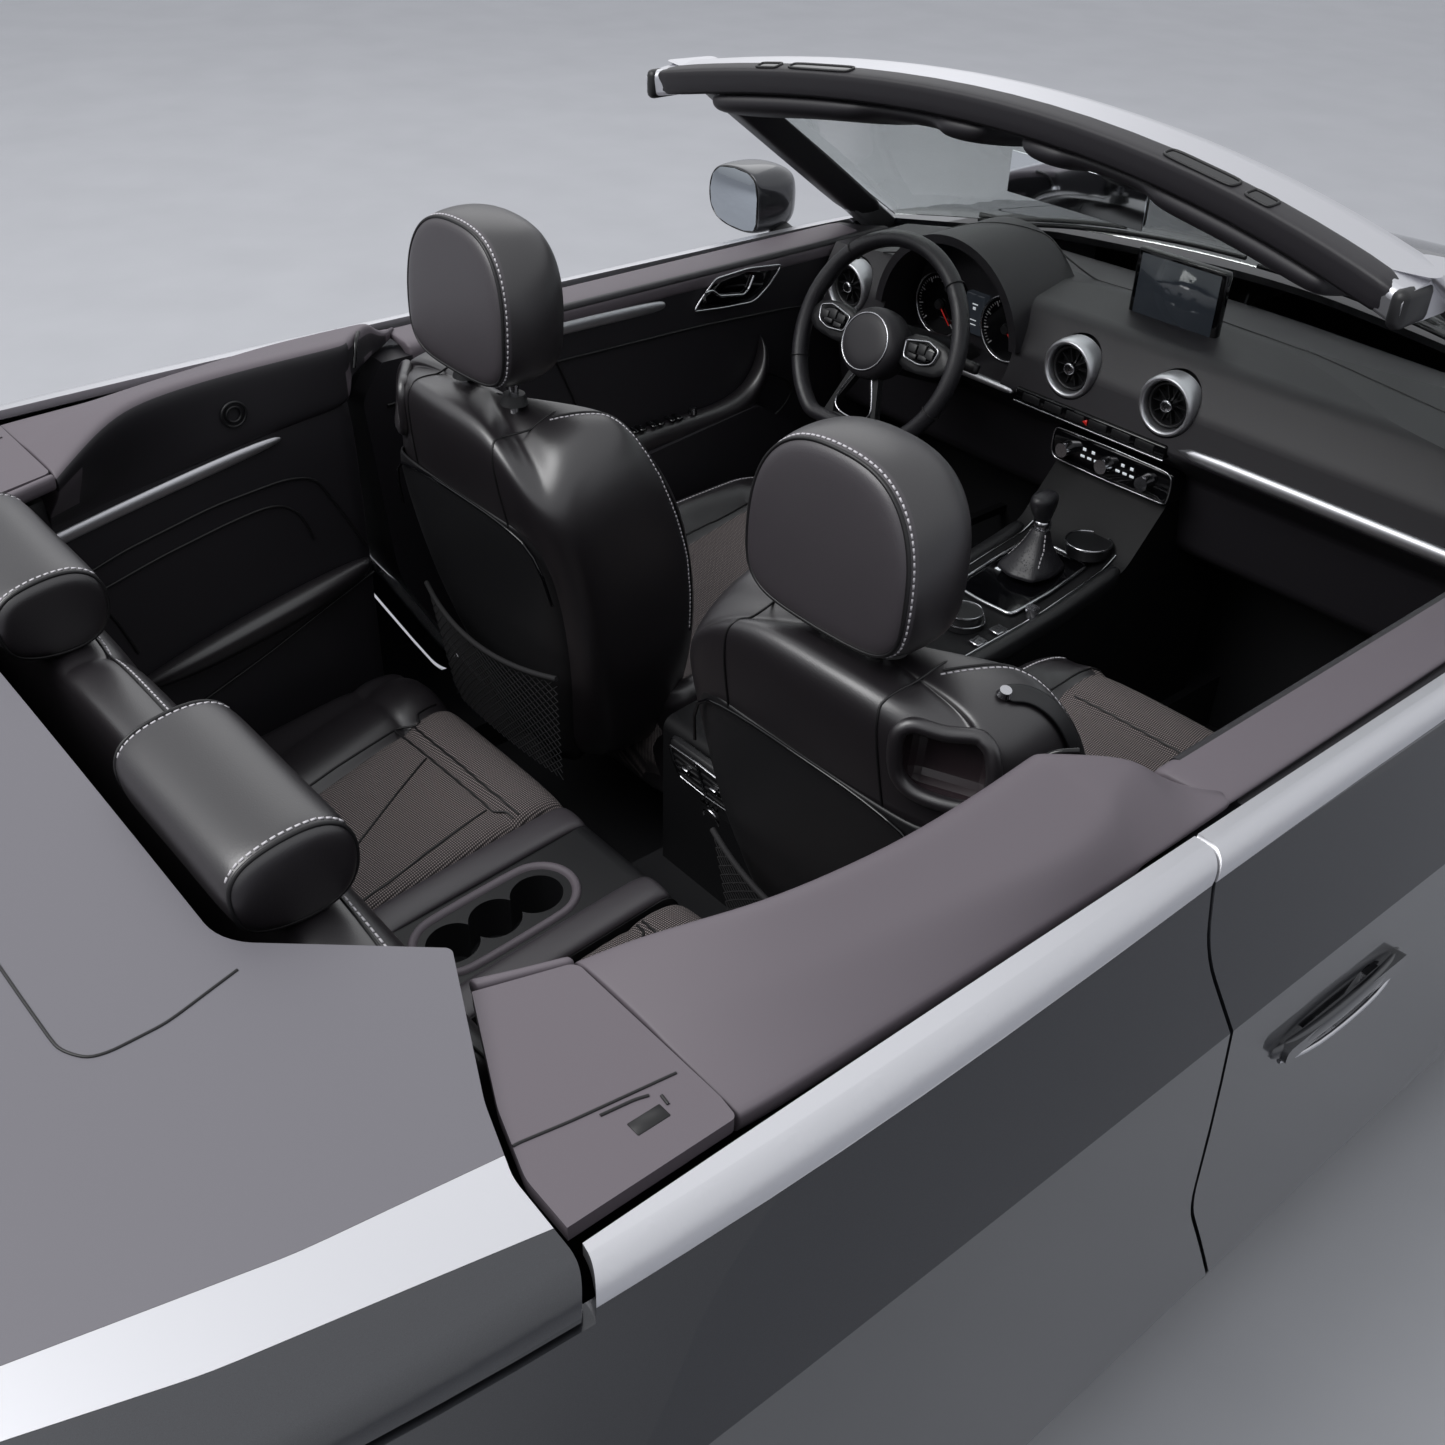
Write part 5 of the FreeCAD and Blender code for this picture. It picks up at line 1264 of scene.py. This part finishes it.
# The rear side walls: a moulded liner with a bright strip, pressed lines, an armrest and a belt clip.
for side, sign in SIDES:
    def wall(points, depth=640):
        return mm([(sign * depth, y, z) for y, z in points])

    strip_line = [(640, 893), (700, 884), (800, 868), (900, 850), (1000, 831), (1060, 818)]
    rings = []
    for k, (y, z) in enumerate(strip_line):
        grow = 0.55 if k == 0 else 1.0
        rings.append(mm([(sign * (642 - out), y, z + up * grow) for out, up in
                      ((0, 11), (5, 10), (8, 3), (7, -6), (4, -10), (0, -11))]))
    form = ring_loft(rings)
    piece("rear_wall_strip_" + side, form, brushed, levels=2)
    form = bmesh.new()
    for line in ([(1010, 755), (900, 790), (760, 818), (640, 828), (600, 815), (560, 740), (530, 680)],
                 [(955, 738), (850, 765), (740, 786), (675, 794), (645, 785), (622, 745), (612, 700)],
                 [(955, 738), (930, 690), (906, 615)],
                 [(523, 631), (600, 600), (720, 550), (853, 502), (930, 470)]):
        strand(form, spaced(wall(line, 639), 0.03), 0.0022)
    piece("rear_wall_lines_" + side, form, piping, "soft_trim")
    # Along the armrest: place, height, half height and reach into the cabin
    rings = []
    for y, z, half, reach in ((528, 655, 4, 6), (536, 652, 14, 24), (570, 646, 24, 40), (650, 632, 29, 50),
                              (750, 612, 29, 50), (850, 590, 24, 42), (915, 574, 12, 22), (932, 570, 3, 5)):
        rings.append(mm([(sign * (642 - reach * out), y, z + half * up) for out, up in
                         ((0, 0.7), (0.5, 1.0), (0.9, 0.75), (1.0, 0.2), (0.85, -0.5), (0.45, -1.0),
                          (0, -1.0))]))
    pad = piece("rear_armrest_" + side, ring_loft(rings), leather, "soft_trim", levels=2)
    form = bmesh.new()
    for radius in (0.018, 0.011):
        ring_points = [Vector((sign * 0.639, 0.708 + radius * math.cos(a), 0.945 + radius * math.sin(a)))
                       for a in turns(24)]
        strand(form, ring_points, 0.0022, True)
    piece("rear_wall_button_" + side, form, black)
    form = strand(bmesh.new(), mm([(sign * 640, 516, 968), (sign * 646, 507, 990), (sign * 656, 500, 1003),
                                   (sign * 672, 486, 1006)]), 0.003)
    piece("rear_trim_lip_" + side, form, gloss)

# The inner faces of the doors: moulded liners with a strip, a pull, keys and a release lever.
CAP_SECTION = ((776, 949), (776, 956), (771, 960), (735, 960.5), (706, 959.5), (696, 954), (693, 944),
               (693, 930), (697, 928), (700, 949))
for side, sign in SIDES:
    body = "door_" + side

    def inner(points, depth=694):
        return mm([(sign * depth, y, z) for y, z in points])

    rings = []
    for k, (y, z) in enumerate([(-112, 918), (-90, 918), (60, 922), (200, 922), (330, 920), (400, 916)]):
        grow = 0.6 if k == 0 else 1.0
        rings.append(mm([(sign * (697 - out), y, z + up * grow) for out, up in
                      ((0, 12), (5, 11), (8, 4), (7, -6), (4, -11), (0, -12))]))
    piece("door_liner_strip_" + side, ring_loft(rings), brushed, body=body, levels=2)
    frame_points = [(-174, 893), (-185, 908), (-222, 942), (-300, 946), (-381, 938), (-350, 905),
                    (-315, 882), (-240, 886)]
    hollow = ring_loft([inner(frame_points, 696), inner(frame_points, 692)])
    piece("door_release_plate_" + side, hollow, gloss, body=body, levels=1)
    form = strand(bmesh.new(), spaced(inner(frame_points, 691), 0.014, True), 0.0022, True)
    strand(form, spaced(inner([(-196, 922), (-212, 924), (-231, 910), (-288, 901), (-300, 910),
                               (-311, 933)], 689), 0.008), 0.0026)
    piece("door_release_lever_" + side, form, polished, body=body)
    cap_rings = []
    for y in (-592, -588, -300, 0, 250, 386, 392):
        cap_rings.append(mm([(sign * x, y, z) for x, z in CAP_SECTION]))
    piece("door_cap_" + side, ring_loft(cap_rings), soft_skin, body=body, levels=2)
    # The pull grows out of the armrest and curves up to the front
    rings = []
    for y, z, half_y, half_z, reach in ((60, 672, 14, 26, 34), (0, 684, 14, 26, 38),
                                        (-90, 684, 14, 27, 40), (-190, 684, 14, 28, 42),
                                        (-262, 692, 20, 26, 44), (-308, 722, 24, 20, 46),
                                        (-330, 765, 22, 14, 42), (-338, 800, 18, 12, 26),
                                        (-338, 812, 12, 6, 4)):
        rings.append(mm([(sign * (697 - reach * out), y + half_y * across_share * 0.6, z + half_z * up)
                         for out, up, across_share in ((0, 0.9, 0.4), (0.7, 1.0, 0.6), (1.0, 0.4, 0.8),
                                                       (1.0, -0.5, -0.2), (0.6, -1.0, -0.8),
                                                       (0, -1.0, -0.8))]))
    piece("door_pull_" + side, ring_loft(rings), leather, "soft_trim", body, levels=2)
    form = bmesh.new()
    for y, z in ((-20, 710), (-62, 710), (-104, 710)):
        for step in (0, 16):
            block(form, (sign * 664, y - step - 12, z), (sign * 688, y - step, z + 5), 0.0015, 1)
    piece("door_keys_" + side, form, gloss, body=body, sharp=40)
    form = bmesh.new()
    for y in (-26, -42, -68, -84, -110, -126):
        block(form, (sign * 668, y - 2, 715), (sign * 684, y, 716.5))
    cone(form, 20, 0.009, 0.008, 0.012, Matrix.Translation(Vector((sign * 674, -160, 717)) / 1000))
    piece("door_key_edges_" + side, form, polished, body=body, sharp=40)
    form = bmesh.new()
    for line in ([(440, 872), (100, 868), (-191, 862), (-420, 850), (-560, 820)],
                 [(-340, 741), (-433, 700), (-420, 660), (-309, 611), (-100, 590), (150, 575)],
                 [(120, 868), (90, 800), (60, 716)]):
        strand(form, spaced(inner(line, 694), 0.04), 0.0024)
    piece("door_liner_lines_" + side, form, piping, "soft_trim", body)

# The lid over the folded roof and its flaps: pressed seams and a slot, which show as dark lines.
skin = surface(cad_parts["top_lid"])
form = bmesh.new()
pocket = [(427, 1206), (434, 1232), (445, 1272), (446, 1316), (441, 1334), (418, 1345), (360, 1347),
          (240, 1350), (0, 1352)]
pocket_line = pocket + [(-x, y) for x, y in reversed(pocket[:-1])]
strand(form, on_skin(spaced(mm([(x, y, 985) for x, y in pocket_line]), 0.014), skin, 0.0002), 0.0013)
piece("lid_pocket_seam", form, piping, "lid_panel", "top_lid")
skin = surface(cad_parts["side_flaps"])
for side, sign in SIDES:
    form = bmesh.new()
    for line, width in (([(712, 998), (700, 1085), (690, 1140)], 0.0013),
                        ([(709, 1066), (714, 1030), (719, 1024)], 0.0014),
                        ([(722, 1020), (736, 1022)], 0.0014)):
        strand(form, on_skin(spaced(mm([(sign * x, y, 965) for x, y in line]), 0.01), skin, 0.0002), width)
    block(form, (sign * 727, 1026, 960), (sign * 741, 1056, 962.8), 0.0008, 1)
    piece("flap_lines_" + side, form, piping, "soft_trim")

# The door mirrors: a painted shell on a foot, with a heated glass that tilts inside its rim.
MIRROR_EDGE = [(829, 962), (836, 947), (866, 941), (912, 942), (950, 950), (970, 972), (974, 1005),
               (966, 1035), (944, 1052), (900, 1058), (858, 1056), (836, 1044), (828, 1012)]
glass_mirror = plain("silvered_mirror_glass", "#AEB4BA", 0.02, 1.0)
for side, sign in SIDES:
    def edge_ring(y, grow, shrink_low=0.0):
        return mm([(sign * (902 + (x - 902) * grow), y, 1000 + (z - 1000) * (grow - shrink_low))
                for x, z in MIRROR_EDGE])

    rings = [edge_ring(-444, 0.95), edge_ring(-441, 0.99), edge_ring(-444, 1.03), edge_ring(-462, 1.06),
             edge_ring(-495, 1.06), edge_ring(-525, 1.0), edge_ring(-550, 0.82), edge_ring(-566, 0.55),
             edge_ring(-572, 0.25)]
    piece("mirror_shell_" + side, ring_loft(rings), paint, body="door_" + side, levels=2,
          stands_for=["door_mirror_" + side])
    piece("mirror_rim_" + side, ring_loft([edge_ring(-446, 0.99), edge_ring(-440, 0.99),
                                           edge_ring(-439, 0.965), edge_ring(-444, 0.94)]), gloss,
          body="door_" + side, levels=2)
    piece("mirror_glass_" + side, ring_loft([edge_ring(-445, 0.93), edge_ring(-440.5, 0.93),
                                             edge_ring(-440, 0.915)]), glass_mirror, "mirror_glass",
          "door_" + side, sharp=30)
    rings = []
    for x, y, half_y, z, half_z in ((792, -505, 34, 934, 9), (812, -506, 30, 938, 10),
                                    (836, -507, 26, 944, 13), (862, -508, 24, 952, 16),
                                    (880, -508, 18, 960, 14)):
        rings.append(mm([(sign * x, y + half_y * math.cos(a), z + half_z * math.sin(a)) for a in
                      turns(16)]))
    piece("mirror_foot_" + side, ring_loft(rings), black, body="door_" + side, levels=1)

# The door handles: a painted grip with a bright lower edge, over a finger cup pressed into the door skin.
for side, sign in SIDES:
    rings = []
    for y, half_z, out in ((160, 5, 897), (166, 11, 902), (200, 14, 909), (280, 15, 912), (360, 14, 910),
                           (398, 11, 903), (404, 5, 898)):
        rings.append(mm([(sign * x, y, 728 + (y - 281) * 0.02 + z) for x, z in
                         ((out - 14, half_z * 0.7), (out - 4, half_z), (out, half_z * 0.4),
                          (out - 1, -half_z * 0.5), (out - 6, -half_z), (out - 15, -half_z * 0.8))]))
    piece("door_grip_" + side, ring_loft(rings), paint, body="door_" + side, levels=2)
    form = strand(bmesh.new(), mm([(sign * 900, 172, 716), (sign * 909, 200, 713), (sign * 912, 280, 713),
                                   (sign * 909, 360, 715), (sign * 900, 392, 719)]), 0.0026)
    piece("door_grip_edge_" + side, form, polished, body="door_" + side)
    cup = bmesh.new()
    bmesh.ops.create_uvsphere(cup, u_segments=32, v_segments=20, radius=0.0592,
                              matrix=Matrix.Translation(Vector((sign * 936.5, 235, 705)) / 1000))
    outside = [v for v in cup.verts if abs(v.co.x) > 0.8945]
    bmesh.ops.delete(cup, geom=outside, context="VERTS")
    bmesh.ops.reverse_faces(cup, faces=cup.faces)
    liner = piece("door_grip_cup_" + side, cup, gloss, body="door_" + side)
    thick = liner.modifiers.new("thickness", "SOLIDIFY")
    thick.thickness, thick.offset = 0.0008, 1.0

# The tyres: moulded rubber with four grooves round the tread, cut shoulder blocks and a rib on each wall.
drawn_radius = 0.318
# Across from the middle of the tyre, and radius
TREAD = [(-88, 230), (-100, 238), (-109, 252), (-112, 268), (-111, 284), (-107, 297), (-102, 304),
         (-96, 309), (-88, 313), (-62, 317), (-61, 310), (-52, 310), (-51, 317.6), (-24, 318), (-23, 310),
         (-12, 310), (-11, 318)]
for corner in ("front_left", "front_right", "rear_left", "rear_right"):
    low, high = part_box("tyre_" + corner)
    middle = Vector([(a + b) / 2 for a, b in zip(low, high)])
    radius_share = (high[2] - low[2]) / 2 / drawn_radius
    form = bmesh.new()
    profile = TREAD + [(-x, r) for x, r in reversed(TREAD)]
    corners = [form.verts.new((middle.x + x / 1000, middle.y, middle.z + r / 1000 * radius_share))
               for x, r in profile]
    edges = [form.edges.new(pair) for pair in zip(corners, corners[1:])]
    bmesh.ops.spin(form, geom=corners + edges, cent=middle, axis=(1, 0, 0), angle=math.tau, steps=144,
                   use_merge=True)
    bmesh.ops.remove_doubles(form, verts=form.verts, dist=0.00001)
    cuts = []
    for face in form.faces:
        place = face.calc_center_median() - middle
        around = math.degrees(math.atan2(place.y, place.z)) % 360 / 2.5
        if 0.062 < abs(place.x) < 0.104 and math.hypot(place.y, place.z) > 0.303 and int(around) % 4 == 0:
            cuts.append(face)
    sunk = bmesh.ops.extrude_discrete_faces(form, faces=cuts)
    for face in sunk["faces"]:
        for corner_vert in face.verts:
            inward = Vector((0, middle.y - corner_vert.co.y, middle.z - corner_vert.co.z)).normalized()
            corner_vert.co += inward * 0.005
    bmesh.ops.recalc_face_normals(form, faces=form.faces)
    piece("tyre_tread_" + corner, form, rubber, "tyre_rubber", "wheel_" + corner, sharp=35,
          stands_for=["tyre_" + corner])
    # Five bolts sit round a bare centre cap
    skin = surface(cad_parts["rim_" + corner])
    sign = 1 if corner.endswith("left") else -1
    bolts = bmesh.new()
    for k in range(5):
        angle = math.tau * (k + 0.5) / 5
        start = Vector((sign * 1.2, middle.y + 0.056 * math.sin(angle), middle.z + 0.056 * math.cos(angle)))
        place = skin.ray_cast(start, Vector((-sign, 0, 0)))[0]
        if place is not None:
            cone(bolts, 6, 0.0095, 0.009, 0.012, Matrix.Translation(place) @ rotated(90 * sign, "Y"))
    place = skin.ray_cast(Vector((sign * 1.2, middle.y, middle.z)), Vector((-sign, 0, 0)))[0]
    if place is not None:
        cone(bolts, 40, 0.031, 0.028, 0.006, Matrix.Translation(place) @ rotated(90 * sign, "Y"))
    piece("wheel_bolts_" + corner, bolts, steel_bright, "wheel_alloy", "wheel_" + corner, sharp=40)

# The headlamps: two lenses and a light strip in a dark housing, behind clear mouldings of the wings' shape.
skin = surface(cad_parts["headlamps"])
for side, sign in SIDES:
    strip_places = []
    for k in range(9):
        x = sign * (0.62 + 0.028 * k)
        place = skin.ray_cast(Vector((x, -2.6, 0.712 - 0.002 * k)), Vector((0, 1, 0)))[0]
        if place is not None:
            strip_places.append(place + Vector((0, 0.012, 0)))
    if len(strip_places) > 3:
        piece("lamp_strip_" + side, strand(bmesh.new(), strip_places, 0.0045), lamp_white, "lamp_glass")
    eyes = bmesh.new()
    for x, z in ((0.665, 0.672), (0.755, 0.680)):
        place = skin.ray_cast(Vector((sign * x, -2.6, z)), Vector((0, 1, 0)))[0]
        if place is not None:
            bmesh.ops.create_uvsphere(eyes, u_segments=28, v_segments=16, radius=0.021,
                                      matrix=Matrix.Translation(place + Vector((0, 0.034, 0))))
            ring_points = [place + Vector((0.026 * math.cos(a), 0.028, 0.026 * math.sin(a))) for a in
                           turns(28)]
            strand(eyes, ring_points, 0.003, True)
    piece("lamp_lenses_" + side, eyes, polished, "lamp_glass")

# The tail lamps: pale and dark bands moulded in the red lenses.
skin = surface(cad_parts["tail_lamps"])
for side, sign in SIDES:
    for name, z, finish, radius in (("upper", 0.838, red_deep, 0.004),
                                    ("middle", 0.806, lamp_white, 0.0045),
                                    ("lower", 0.775, red_deep, 0.004)):
        places = []
        for k in range(12):
            angle = math.radians(8 + 74 * k / 11)
            start = Vector((sign * (0.55 + 0.9 * math.cos(angle)), 1.72 + 1.0 * math.sin(angle), z))
            aim = Vector((sign * 0.55, 1.72, z)) - start
            place = skin.ray_cast(start, aim.normalized())[0]
            if place is not None:
                places.append(place)
        if len(places) > 3:
            piece("tail_band_%s_%s" % (name, side), strand(bmesh.new(), places, radius), finish, "red_lens")

# The wipers: two pressed steel arms with rubber blades, parked along the foot of the windscreen.
skin = surface(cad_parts["windscreen"])
WIPER_LINES = {
    "left": [(590, -800, 930), (480, -795, 935), (300, -790, 940), (120, -785, 945), (20, -780, 948)],
    "right": [(30, -830, 940), (-120, -825, 942), (-300, -815, 940), (-470, -800, 936), (-560, -790, 932)],
}
for name, line in WIPER_LINES.items():
    blade = on_skin(spaced(mm(line), 0.04), skin, 0.006)
    form = strand(bmesh.new(), blade, 0.004)
    arm = [point + Vector((0, -0.004, 0.012)) for point in blade[:len(blade) // 2 + 2]]
    strand(form, arm, 0.0055)
    piece("wiper_" + name, form, black)

# The header: a grained band with the roof's latch slots behind the outer panel, and two padded visors.
band_x = [-612, -560, -480, -380, -260, -130, 0, 130, 260, 380, 480, 560, 612]
rings = []


def header_line(x):
    share = (x / 604.0) ** 2
    return -216 + (-95 - 46 + 4 + 216) * share, 1391 - 60 * share


for x in band_x:
    y, z = header_line(x)
    rings.append(mm([(x, y + py, z + pz) for py, pz in ((90, -4), (92, -2.6), (112, -5.5), (119.5, -9),
                                                        (119.5, -14), (116, -45), (112, -45), (112, -14),
                                                        (92, -6.5))]))
band_form = ring_loft(rings)
band = piece("header_band", band_form, dash_skin, levels=1)
band_skin = surface(band)
slot_form = bmesh.new()
slot_rims = bmesh.new()
for sign in (1, -1):
    for x0, x1 in ((262, 372), (390, 428)):
        y, z = header_line((x0 + x1) / 2)
        place, normal = band_skin.find_nearest(Vector((sign * (x0 + x1) / 2, y + 108, z)) / 1000)[:2]
        ends = [Vector((sign * x, *header_line(x))) for x in (x0, x1)]
        along = ((ends[1] - ends[0]) * sign).normalized()
        over = normal.cross(along).normalized()
        turned_by = Matrix((along, over, normal)).transposed().to_4x4()
        turned_by.translation = place
        half = (x1 - x0) / 2000
        loop = [turned_by @ Vector((half * c, 0.0095 * s, 0.0006)) for c, s in
                ((1, 0.5), (0.92, 1), (0, 1), (-0.92, 1), (-1, 0.5), (-1, -0.5), (-0.92, -1), (0, -1),
                 (0.92, -1), (1, -0.5))]
        strand(slot_rims, loop, 0.0018, True)
        slot_faces = [slot_form.verts.new(point) for point in loop]
        slot_form.faces.new(slot_faces)
piece("header_latch_slots", slot_form, gloss, "black_plastic")
piece("header_latch_rims", slot_rims, black)
for side, sign in SIDES:
    rings = []
    for x, back, rise in ((30, -16, 0.3), (34, -8, 0.9), (60, 0, 1), (102, 0, 1), (112, -14, 0.75),
                          (180, -14, 0.75), (240, -14, 0.75), (250, 0, 1), (340, 0, 1), (430, 0, 1),
                          (500, 0, 1), (512, -8, 0.8), (516, -16, 0.3)):
        y, z = header_line(sign * x)
        ring = []
        for py, pz in ((104, 4), (112, 0), (115, -8), (111, -16), (98, -22), (20, -24), (-50, -22),
                       (-66, -14), (-68, -6), (-50, 2), (20, 4), (90, 6)):
            shift = back if py > 80 else 0
            ring.append((sign * x, y + py + shift, z - 48 - (115 - py) * 0.16 + pz * rise * 1.15))
        rings.append(mm(ring))
    visor = piece("visor_" + side, ring_loft(rings), dash_skin, levels=2,
                  stands_for=["header_trim"] if side == "left" else ())

# The pillar trims: thin moulded covers clipped over the inner and rear faces of the windscreen pillars.
for side, sign in SIDES:
    base, top = Vector((758, -679, 958)), Vector((604, -95, 1330))
    rings = []
    for share in (0.03, 0.2, 0.4, 0.6, 0.8, 0.93):
        p = base.lerp(top, share)
        rings.append(mm([(sign * (p.x + px), p.y + py, p.z) for px, py in
                         ((-31, -38), (-31, 40), (-27, 50), (22, 42), (22, 38), (-25, 46.5), (-27.6, 40),
                          (-27.6, -38))]))
    piece("pillar_trim_" + side, ring_loft(rings), dash_skin, levels=1)
    corner = bmesh.new()
    y, z = header_line(604)
    block(corner, (sign * 606, y + 62, z - 50), (sign * 626, y + 122, z - 8),
        0.009, 3)
    piece("header_corner_" + side, corner, black, sharp=50)

# The interior mirror: a frameless glass on a moulded shell, held by a stem on the windscreen.
shell = bar(bmesh.new(), (-0.116, -0.300, 1.216), (0.116, -0.288, 1.268), 0.005, 2)
piece("mirror_shell_inner", shell, black, sharp=50, stands_for=["interior_mirror"])
mirror_glass = plain("silvered_glass", "#C9CDD0", 0.03, 1.0)
face = bar(bmesh.new(), (-0.119, -0.287, 1.213), (0.119, -0.284, 1.271), 0.001, 1)
piece("mirror_face_inner", face, mirror_glass, "mirror_glass", sharp=40)
form = strand(bmesh.new(), mm([(0, -300, 1262), (0, -312, 1290), (0, -330, 1306), (0, -350, 1304)]), 0.008)
cone(form, 20, 0.022, 0.016, 0.012, Matrix.Translation((0, -0.352, 1.303)) @ rotated(118, "X"))
piece("mirror_stem_inner", form, black, sharp=50)

low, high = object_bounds()
